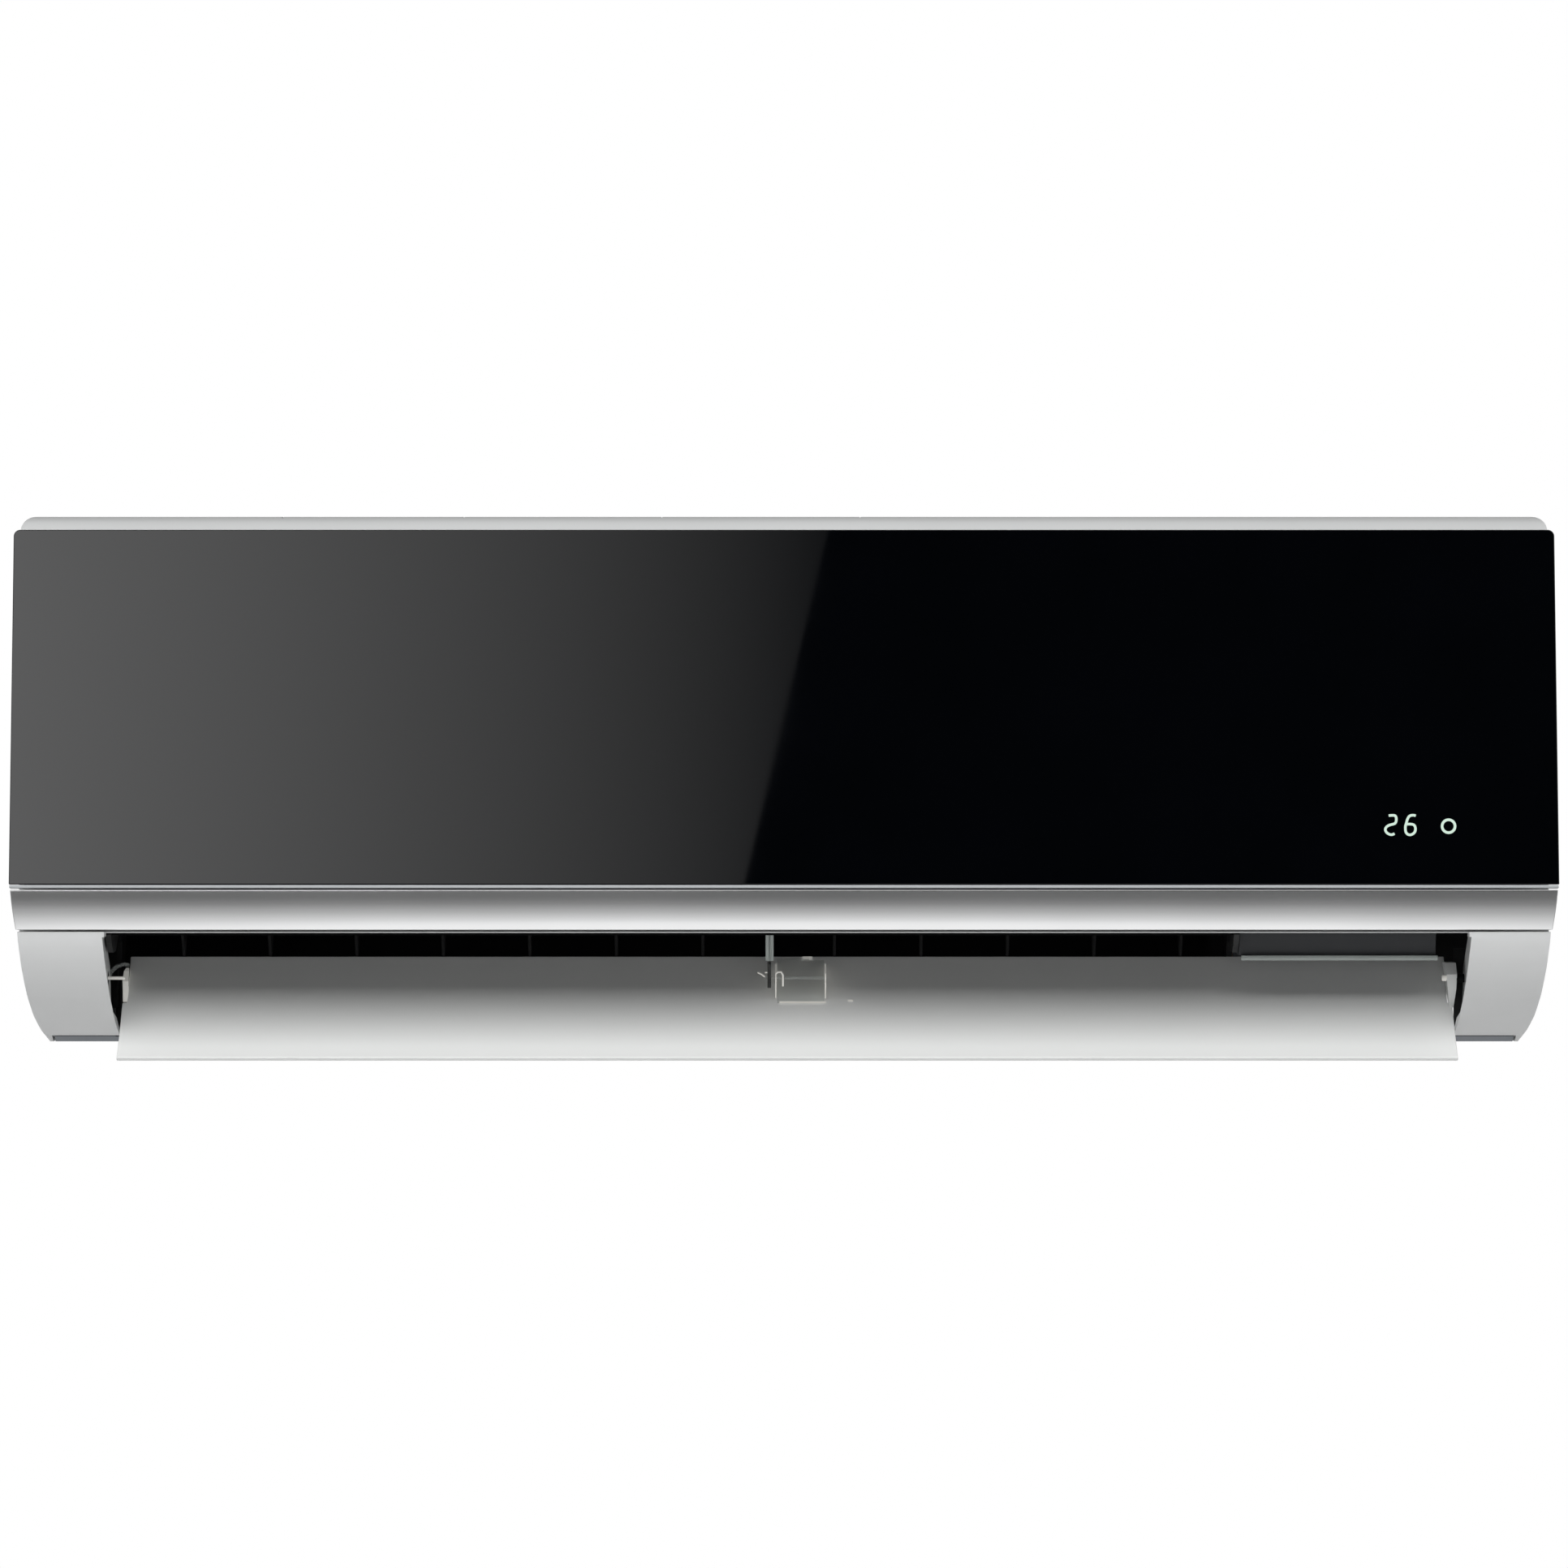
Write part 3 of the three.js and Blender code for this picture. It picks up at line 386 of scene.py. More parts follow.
def fill_ramp(ramp, stops):
    """Gives a colour ramp its stops, as (position, linear colour)."""
    elements = ramp.color_ramp.elements
    for position, colour in stops[1:-1]:
        elements.new(position)
    for element, (position, colour) in zip(elements, stops):
        element.position = position
        element.color = colour


def greys(stops):
    return [(position, (tone, tone, tone, 1.0)) for position, tone in stops]


def patterned(tree, surface, pattern, low, high, span=(0.0, 1.0), gloss=None, relief=None):
    """A colour, and where asked a gloss and a relief (strength, millimetres), that follow a pattern."""
    tint = add_node(tree, "ValToRGB", Fac=pattern)
    fill_ramp(tint, ((span[0], low), (span[1], high)))
    tree.links.new(tint.outputs[0], surface.inputs["Base Color"])
    if gloss:
        uneven = add_node(tree, "MapRange", Value=pattern, To_Min=gloss[0], To_Max=gloss[1])
        tree.links.new(uneven.outputs[0], surface.inputs["Roughness"])
    if relief:
        raised = add_node(tree, "Bump", Strength=relief[0], Distance=relief[1] * MM, Height=pattern)
        tree.links.new(raised.outputs[0], surface.inputs["Normal"])
    return tint.outputs[0]


def grained(tree, surface, place, colour, shade, grain, height, roughness, spread, strength=0.5):
    """A faintly cloudy colour and gloss, with clouds of 90 mm, and a fine raised grain."""
    cloud = add_node(tree, "TexNoise", Vector=place, Scale=1 / 90, Detail=3.0)
    tint = patterned(tree, surface, cloud.outputs["Fac"], darker(colour, shade), colour, (0.35, 0.65),
                     (roughness - spread, roughness + spread))
    fine = add_node(tree, "TexNoise", Vector=place, Scale=1 / grain, Detail=2.0)
    raised = add_node(tree, "Bump", Strength=strength, Distance=height * MM, Height=fine.outputs["Fac"])
    tree.links.new(raised.outputs[0], surface.inputs["Normal"])
    return tint


# Finishes that are only a grained colour: the shader's own values; colour; how much darker its clouds are;
# grain and its height in millimetres; roughness and its spread.
PLAIN_FINISHES = {
    # Black ABS in the air duct: matt, with a coarse grain that keeps it from shining.
    "black": ("duct ABS, moulded black", {"IOR": 1.53, "Specular_IOR_Level": 0.12},
              "#050506", 0.3, 1.0, 0.03, 0.7, 0.06),
    # Dark grey ABS of the blanking panel and the small holders: matt and lightly grained.
    "grey": ("blanking ABS, moulded dark grey", {"IOR": 1.53}, "#343639", 0.12, 0.9, 0.03, 0.5, 0.06),
    # Off-white ABS of the electrical box and clamps: plain, slightly warm, never painted.
    "white": ("inner ABS, moulded off-white", {"IOR": 1.53}, "#DEDED8", 0.05, 1.0, 0.02, 0.5, 0.06),
    # Black rubber: matt, dusty and slightly uneven.
    "rubber": ("rubber, moulded black", {"IOR": 1.52}, "#1A1B1C", 0.3, 0.7, 0.04, 0.85, 0.06),
    # Soft PVC drain hose: off-white, dull and a little uneven; its ribs are in its shape.
    "hose": ("drain hose PVC, corrugated", {"IOR": 1.53}, "#D2D3CE", 0.08, 1.5, 0.03, 0.45, 0.05),
    # Clear polycarbonate hinge clip: what lies behind it shows through, under a thin gloss.
    "clear": ("hinge clip polycarbonate, moulded clear", {"IOR": 1.58, "Alpha": 0.16},
              "#D5DAD7", 0.1, 1.5, 0.02, 0.15, 0.05),
    # Cut edges and small hooks of milky polycarbonate, brightened with a painted glow: they give off light
    # though they are no lamp.
    "painted_glow": ("hinge clip polycarbonate, painted glow",
                 {"IOR": 1.58, "Emission_Strength": 0.22, "Emission_Color": linear("#E9E7E1")},
                 "#E9E7E1", 0.15, 1.5, 0.02, 0.2, 0.05),
}


def plain_finish(name, shader, colour, *grain):
    material, tree, surface, place = new_finish(name, **shader)
    grained(tree, surface, place, linear(colour), *grain)
    return material


# Finishes whose colour follows one texture: the shader's own values; the texture, its values and output;
# the colours at its low and high ends; and the span between them, the gloss and the relief.
PATTERNED_FINISHES = {
    # Toughened float glass, screen-painted black behind: a mirror face with a breath of polishing haze.
    "glass": ("toughened glass, back-painted black", {"IOR": 1.52}, "TexNoise",
              {"Scale": 1 / 60, "Detail": 4.0}, "Fac", "#020304", "#040508", {"gloss": (0.0, 0.035)}),
    # Hot-dipped steel sheet: frosty spangles about 9 mm across, each a little lighter or darker.
    "galvanised": ("steel sheet, galvanised", {"Metallic": 1.0}, "TexVoronoi", {"Scale": 1 / 9}, "Color",
                   "#8F9497", "#C6CACC", {"gloss": (0.3, 0.5)}),
    # Bright drawn steel bar, ground round: fine rings 0.4 mm apart along its length.
    "steel": ("steel bar, ground", {"Metallic": 1.0, "Roughness": 0.28}, "TexWave",
              {"Scale": 0.8, "Distortion": 0.5}, "Fac", "#8D9092", "#B4B7B9", {}),
    # Free-cutting brass, turned: faint tool rings 0.5 mm apart.
    "brass": ("brass, turned", {"Metallic": 1.0, "Roughness": 0.3}, "TexWave",
              {"Scale": 0.63, "Distortion": 0.3}, "Fac", "#A98742", "#D3B266", {}),
    # Bare aluminium fins 1.4 mm apart, drawn 2.8 mm apart: bright on their edges, with painted shade in the
    # dark gaps between.
    "fins": ("aluminium fins, stamped", {"Metallic": 1.0, "Roughness": 0.35}, "TexWave",
             {"Scale": math.pi / 2.8 / 10}, "Fac", "#3C4042", "#CDD1D3",
             {"span": (0.2, 0.7), "relief": (0.8, 0.6)}),
    # Drawn copper tube that has begun to dull: brown clouds over a warm bright metal.
    "copper": ("copper tube, drawn", {"Metallic": 1.0}, "TexNoise", {"Scale": 1 / 25, "Detail": 5.0}, "Fac",
               "#8A4B2C", "#D08D62", {"span": (0.3, 0.62), "gloss": (0.45, 0.2)}),
}


def patterned_finish(name, shader, kind, texture, output, low, high, more):
    material, tree, surface, place = new_finish(name, **shader)
    pattern = add_node(tree, kind, Vector=place, **texture)
    patterned(tree, surface, pattern.outputs[output], linear(low), linear(high), **more)
    return material


# Painted shade on the rolled front edge of the casing's top, darker upwards: (height in mm, share of the
# casing's colour).
ROLLED_EDGE_PAINTED_SHADE = ((134.0, 1.0), (138.5, 0.78), (140.9, 0.74), (142.2, 0.69), (143.6, 0.58), (145.0, 0.42))


def moulded_casing_abs(colour):
    """ABS moulded in a spark-eroded tool: an even satin skin, its 0.8 mm grain drawn at 1.2 mm to show.

    Along the rolled edge over the glass its colour darkens upwards: painted shade.
    """
    material, tree, surface, place = new_finish("casing ABS, moulded satin", IOR=1.53)
    tint = grained(tree, surface, place, (*colour, 1.0), 0.03, 1.2, 0.02, 0.42, 0.05)
    # Painted shade: on the front, the colour is multiplied down towards the top of the rolled edge.
    at = add_node(tree, "SeparateXYZ", Vector=place)
    front = add_node(tree, "MapRange", Value=at.outputs["Y"], From_Min=-160.0, From_Max=-145.0,
                     To_Min=1.0, To_Max=0.0)
    low, high = ROLLED_EDGE_PAINTED_SHADE[0][0], ROLLED_EDGE_PAINTED_SHADE[-1][0]
    up = add_node(tree, "MapRange", Value=at.outputs["Z"], From_Min=low, From_Max=high)
    edge_shade = add_node(tree, "ValToRGB", Fac=up.outputs[0])
    fill_ramp(edge_shade, greys([((height - low) / (high - low), share) for height, share in ROLLED_EDGE_PAINTED_SHADE]))
    both = add_node(tree, "Mix", {"data_type": "RGBA", "blend_type": "MULTIPLY"},
                    _0=front.outputs[0], _6=tint, _7=edge_shade.outputs[0])
    tree.links.new(both.outputs[2], surface.inputs["Base Color"])
    return material


def stretched_finish(name, ior, stretch, colour, *grain):
    """A glossy finish whose grain is drawn out along X."""
    material, tree, surface, place = new_finish(name, IOR=ior)
    stretched = add_node(tree, "Mapping", Vector=place, Scale=(stretch, 1, 1))
    grained(tree, surface, stretched.outputs[0], colour, *grain)
    return material


def moulded_louver_abs(colour):
    """ABS from a polished tool: whiter and a little glossier than the casing, with long flow lines."""
    return stretched_finish("louver ABS, moulded semi-gloss", 1.53, 0.02, (*colour, 1.0),
                            0.02, 3.0, 0.01, 0.34, 0.04)


def two_tones_and_painted_shade(name, low, high, other, other_above, colour, *grain):
    """Grained ABS that turns into another colour over or under a height between low and high: a second real
    tone on the chassis, painted shade on the strut.
    """
    material, tree, surface, place = new_finish(name, IOR=1.53)
    tint = grained(tree, surface, place, linear(colour), *grain)
    at = add_node(tree, "SeparateXYZ", Vector=place)
    above = add_node(tree, "MapRange", Value=at.outputs["Z"], From_Min=low, From_Max=high)
    pair = (tint, linear(other)) if other_above else (linear(other), tint)
    both = add_node(tree, "Mix", {"data_type": "RGBA"}, _0=above.outputs[0], _6=pair[0], _7=pair[1])
    tree.links.new(both.outputs[2], surface.inputs["Base Color"])
    return material


def moulded_chassis_abs():
    """Black ABS chassis, slate grey on the flat underside that shows below the casing."""
    return two_tones_and_painted_shade("chassis ABS, moulded", -143.2, -142.6, "#08080A", True,
                          "#7C8187", 0.1, 1.0, 0.03, 0.6, 0.06)


def strut_with_painted_shade():
    """Grey-green ABS strut, its eye below the 100 mm line painted black as shade."""
    return two_tones_and_painted_shade("strut ABS, grey-green with painted shade below", -100.6, -100.0, "#060606", False,
                          "#9CA3A0", 0.12, 0.9, 0.03, 0.45, 0.05)


def polished_edge_acrylic():
    """Clear acrylic strip with a light pigment: glossy, and brighter than what stands beside it."""
    return stretched_finish("edge strip acrylic, extruded", 1.49, 0.01, linear("#B4B8BA"),
                            0.1, 2.0, 0.01, 0.22, 0.03)


def metallic_silver_paint(colour):
    """Silver lacquer on ABS: aluminium flakes of 0.05 mm, drawn at 0.5 mm, that catch the light singly."""
    material, tree, surface, place = new_finish("silver lacquer, metallic", Metallic=1.0)
    grained(tree, surface, place, (*colour, 1.0), 0.04, 0.5, 0.012, 0.2, 0.02, 0.25)
    return material


COIL_MIDDLE = -69.0  # X of the middle of the evaporator, in millimetres
TUBE_SHEETS = 297.2  # from there to the outside of its tube sheets


def tube_sheet_and_bends():
    """End of the coil: galvanised tube sheets with copper return bends soldered through them."""
    material, tree, surface, place = new_finish("tube sheet steel and copper bends", Metallic=1.0,
                                                Roughness=0.35)
    along = add_node(tree, "SeparateXYZ", Vector=place)
    middle = add_node(tree, "Math", {"operation": "ADD"}, _0=along.outputs["X"], _1=-COIL_MIDDLE)
    away = add_node(tree, "Math", {"operation": "ABSOLUTE"}, _0=middle.outputs[0])
    copper = add_node(tree, "Math", {"operation": "GREATER_THAN"}, _0=away.outputs[0],
                      _1=TUBE_SHEETS)
    noise = add_node(tree, "TexNoise", Vector=place, Scale=1 / 12, Detail=4.0)
    steel = patterned(tree, surface, noise.outputs["Fac"], linear("#8F9497"), linear("#C2C6C8"))
    warm = patterned(tree, surface, noise.outputs["Fac"], linear("#8A4B2C"), linear("#D08D62"))
    both = add_node(tree, "Mix", {"data_type": "RGBA"}, _0=copper.outputs[0], _6=steel, _7=warm)
    tree.links.new(both.outputs[2], surface.inputs["Base Color"])
    return material


def woven_filter_net():
    """Polypropylene filter net: dark threads 1.5 mm apart, drawn 3 mm apart, with the holes between painted
    darker as shade.
    """
    material, tree, surface, place = new_finish("filter net, woven polypropylene", IOR=1.49, Roughness=0.6)
    threads = [add_node(tree, "TexWave", {"bands_direction": way}, Vector=place,
                        Scale=math.pi / 3 / 10).outputs["Fac"] for way in "XZ"]
    net = add_node(tree, "Math", {"operation": "MAXIMUM"}, _0=threads[0], _1=threads[1])
    patterned(tree, surface, net.outputs[0], linear("#0C0E10"), linear("#4B5157"), (0.45, 0.75),
              relief=(0.7, 0.4))
    return material


def lacquered_circuit_board():
    """Glass-fibre board under green lacquer: paler tracks 2.5 mm apart and a soft gloss."""
    material, tree, surface, place = new_finish("circuit board, green lacquer", IOR=1.5, Roughness=0.3)
    tracks = add_node(tree, "TexBrick", Vector=place, Scale=0.12, Mortar_Size=0.03, Brick_Width=0.9,
                      Row_Height=0.3, Color1=linear("#17522F"), Color2=linear("#1C6038"),
                      Mortar=linear("#2E7D4C"))
    tree.links.new(tracks.outputs["Color"], surface.inputs["Base Color"])
    raised = add_node(tree, "Bump", Strength=0.5, Distance=0.05 * MM, Height=tracks.outputs["Fac"])
    tree.links.new(raised.outputs[0], surface.inputs["Normal"])
    return material


def lit_display(colour, strength):
    """Light guide behind the glass, lit from behind: a pale glow, a shade weaker here and there."""
    material, tree, surface, place = new_finish("display light, pale green", Roughness=0.4, IOR=1.49,
                                                Base_Color=linear("#101412"), Emission_Strength=strength)
    glow = add_node(tree, "TexNoise", Vector=place, Scale=0.5, Detail=1.0)
    tint = add_node(tree, "ValToRGB", Fac=glow.outputs["Fac"])
    fill_ramp(tint, ((0.0, darker(colour, 0.1)), (1.0, (*colour, 1.0))))
    tree.links.new(tint.outputs[0], surface.inputs["Emission Color"])
    return material


# The CAD nodes that stay in sight; every other one is replaced by a piece.
NODE_FINISHES = {
    "fins": ("evaporator_front", "evaporator_top", "evaporator_rear"),
    "bends": ("evaporator_end_left", "evaporator_end_right"),
    "filter": ("filter_left", "filter_right"),
    "board": ("control_board", "display_board"),
}


# ------------------------------------------------------------------ operators


class UNIT_OT_finishes(bpy.types.Operator):
    """Makes the finishes and gives one to each CAD node that stays in sight"""

    bl_idname = "unit.finishes"
    bl_label = "Finishes"

    def execute(self, context):
        finish = context.scene.unit_finish
        FINISHES.update(
            casing=moulded_casing_abs(finish.casing_colour),
            louver=moulded_louver_abs(finish.louver_colour),
            silver=metallic_silver_paint(finish.silver_colour),
            display=lit_display(finish.display_colour, finish.display_strength),
            chassis=moulded_chassis_abs(), strut=strut_with_painted_shade(), edge=polished_edge_acrylic(),
            bends=tube_sheet_and_bends(), filter=woven_filter_net(), board=lacquered_circuit_board(),
            **{name: plain_finish(*row) for name, row in PLAIN_FINISHES.items()},
            **{name: patterned_finish(*row) for name, row in PATTERNED_FINISHES.items()},
        )
        for finish_name, nodes in NODE_FINISHES.items():
            for node in nodes:
                for material_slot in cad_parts[node].material_slots:
                    material_slot.material = FINISHES[finish_name]
        return {"FINISHED"}


# The cheeks' profile in the CAD, and the photo's fuller one, as curves in (Y, Z).
CHEEK_MOULD = ((-112, -146), (-160, -126), (-192.5, -85))
CHEEK_FULL = ((-119.8, -142.6), (-178, -131), (-192.5, -85))
CHEEK_FOOT = -142.55
CHEEK_SKIN = 3.6  # what lies this near the profile is moved with it
SHELF = -85  # height of the casing's shelf under the trim
SHELF_BACK = -177.5
SHELF_RISE = 1.6
MOUTH = (-373.4, 376.4)  # the sides of the outlet's mouth


class UNIT_OT_casing(bpy.types.Operator):
    """Builds the front casing and its top grille with soft moulded edges"""

    bl_idname = "unit.casing"
    bl_label = "Casing"

    def execute(self, context):
        edge = context.scene.unit_shape.soft_edge
        front = merged_copy("casing_front", "front_frame")
        self.fill_cheeks(front)
        # The mouth's upper lip is thin and stands back behind the trim.
        for y, z in ((-186.5, -80), (-165, -84.1)):
            cut_away(front, plain_block("lip_cutter", (MOUTH[0], -200, -88), (MOUTH[1], y, z)))
        soften(front, edge, 2)
        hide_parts("front_frame")
        settle(front, "body", "casing")
        settle(refined("casing_grille", "top_grille", edge), "body", "casing")
        return {"FINISHED"}

    def fill_cheeks(self, front):
        """Parts the lower front into bands, brings them forward to a fuller curve and raises the shelf."""
        flat = curve_points(*CHEEK_MOULD, 6)
        full = curve_points(*CHEEK_FULL, 24)
        make_only(front)
        bpy.ops.object.mode_set(mode="EDIT")
        for height in range(-140, -86, 4):
            bpy.ops.mesh.select_all(action="SELECT")
            bpy.ops.mesh.bisect(plane_co=metres(0, 0, height), plane_no=(0, 0, 1))
        shape = bmesh.from_edit_mesh(front.data)
        for vertex in shape.verts:
            y, z = vertex.co.y / MM, vertex.co.z / MM
            if CHEEK_FOOT < z < SHELF - 0.05 and y < depth_at(flat, z) + CHEEK_SKIN:
                vertex.co.y += (depth_at(full, z) - depth_at(flat, z)) * MM
            elif abs(z - SHELF) < 0.05 and y < SHELF_BACK:
                vertex.co.z += SHELF_RISE * MM
        bmesh.update_edit_mesh(front.data)
        bpy.ops.object.mode_set(mode="OBJECT")


class UNIT_OT_glass(bpy.types.Operator):
    """Builds the black glass panel with its rounded corners and ground edges"""

    bl_idname = "unit.glass"
    bl_label = "Glass panel"

    def execute(self, context):
        half = GLASS_WIDTH / 2
        piece = plain_block("glass_front", (-half, 0, -GLASS_HEIGHT), (half, GLASS_THICKNESS, 0))
        bpy.ops.object.mode_set(mode="EDIT")
        pick(piece.data, lambda place: place.z > -0.001)
        bpy.ops.transform.resize(value=((half - GLASS_DRAW) / half, 1, 1), center_override=(0, 0, 0))
        for side in (1, -1):
            pick(piece.data, lambda place: place.z > -0.001 and place.x * side > 0.3)
            bpy.ops.mesh.bevel(offset=GLASS_CORNER * MM, segments=8, affect="EDGES")
        bpy.ops.object.mode_set(mode="OBJECT")
        soften(piece, context.scene.unit_shape.glass_arris, 3)
        piece.rotation_euler = (GLASS_TILT, 0, 0)
        piece.location = GLASS_TOP * MM
        fix_place()
        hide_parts("glass_panel")
        settle(piece, "panel", "glass")
        return {"FINISHED"}


STRIP_HALF = 424.6  # half the edge strip's length
TRIM_TOP = -196  # down the glass
TRIM_HEIGHT = 26
TRIM_HALF_TOP = 424.8  # half the trim's length at its top, and at its foot
TRIM_HALF_FOOT = 421.6


class UNIT_OT_trim(bpy.types.Operator):
    """Builds the bright edge strip and the curved silver trim under the glass"""

    bl_idname = "unit.trim"
    bl_label = "Trim"

    def execute(self, context):
        strip_section = [(-0.3, -195.6), (6, -195.6), (6, -197.4), (-0.1, -197.4), (-0.5, -196.9)]
        strip = bar("glass_edge_strip", -STRIP_HALF, STRIP_HALF, strip_section, on_panel)
        soften(strip, 0.3 * MM, 2)
        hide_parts("panel_edge_strip")
        settle(strip, "panel", "edge")
        face = curve_points((-0.4, -198.2), (0.6, -212.3), (8.7, -219.8), 24)
        section = [(12, -198.2), *face, (17, -219.3), (17, -217.8), (12, -216)]
        stations = []
        for y, z in section:
            half = (TRIM_HALF_TOP + (TRIM_HALF_FOOT - TRIM_HALF_TOP) * (TRIM_TOP - z) / TRIM_HEIGHT) * MM
            stations.append((-half, half, *on_panel(0, y, z)[1:]))
        trim = extruded_section("silver_trim_bar", stations)
        soften(trim, 0.5 * MM, 3, 40)
        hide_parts("silver_trim")
        settle(trim, "panel", "silver")
        return {"FINISHED"}


# The digits 2 and 6: X of the middle, and the stroke about that middle, in millimetres.
DIGITS = {
    "display_digit_tens": (333.1, (
        (-1.5, 5.1), (0.4, 5.3), (2.0, 5.2), (2.6, 4.2), (2.7, 2.8), (2.4, 1.3), (1.5, 0.5), (-0.6, 0.1),
        (-2.3, -0.6), (-3.4, -1.9), (-3.4, -3.1), (-2.5, -4.5), (-0.7, -5.4), (0.7, -5.3), (1.6, -4.7))),
    "display_digit_units": (343.9, (
        (2.5, 5.0), (1.4, 5.4), (-0.5, 5.2), (-1.5, 4.3), (-2.2, 2.8), (-2.6, 1.1), (-3.2, -0.6),
        (-3.2, -2.8), (-2.8, -4.5), (-1.4, -5.5), (0.2, -5.4), (1.8, -4.3), (2.4, -2.8), (2.2, -0.9),
        (1.4, 0.2), (-0.5, 0.5), (-2.3, 0.4))),
}
RING = (364.4, DISPLAY_MIDDLE - 0.7)  # X of the ring, and its height down the glass
RING_RADIUS = 3.55


class UNIT_OT_display(bpy.types.Operator):
    """Draws the two lit digits and the ring of the display"""

    bl_idname = "unit.display"
    bl_label = "Display"

    def execute(self, context):
        width = context.scene.unit_shape.stroke_width
        for name, (middle, strokes) in DIGITS.items():
            digit = tube(name, rounded([metres(x, 0, z) for x, z in strokes]), width / 2, 12)
            self.lay_on_glass(digit, middle, DISPLAY_MIDDLE)
        clear_selection()
        bpy.ops.mesh.primitive_torus_add(major_radius=RING_RADIUS * MM, minor_radius=width / 2,
                                         major_segments=40, minor_segments=12, rotation=(math.pi / 2, 0, 0))
        ring = named(bpy.context.object, "display_ring")
        fix_place()
        bpy.ops.object.shade_smooth()
        self.lay_on_glass(ring, *RING)
        return {"FINISHED"}

    def lay_on_glass(self, piece, x, z):
        """Flattens a stroke to 0.1 mm and lays it on the face of the glass."""
        make_only(piece)
        piece.scale = (1, 0.06, 1)
        fix_place()
        piece.rotation_euler = (GLASS_TILT, 0, 0)
        piece.location = on_panel(x, -0.01, z)
        fix_place()
        settle(piece, "panel", "display")


# The closed louver's faces, as curves in (Y, Z) about its pivot.
LOUVER_OUTER = ((-50, 21.2), (-20, -14), (16, -33.2))
LOUVER_INNER = ((17.6, -30.6), (-17.6, -11.2), (-48.3, 22.8))
LOUVER_STEP = 2.7  # of each end, above the pivot's height


class UNIT_OT_louver(bpy.types.Operator):
    """Builds the open air louver with its notched ends"""

    bl_idname = "unit.louver"
    bl_label = "Louver"

    def execute(self, context):
        section = curve_points(*LOUVER_OUTER, 24) + curve_points(*LOUVER_INNER, 24)
        blade = bar("louver_blade", LOUVER_LEFT, LOUVER_RIGHT, section, on_louver)
        for end in (LOUVER_LEFT, LOUVER_RIGHT):
            cut_away(blade, plain_block("notch_cutter", (end - LOUVER_STEP, -140, -124),
                                        (end + LOUVER_STEP, -80, -64)))
        soften(blade, 0.6 * MM, 3, 50)
        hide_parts("louver")
        settle(blade, "louver", "louver")
        return {"FINISHED"}


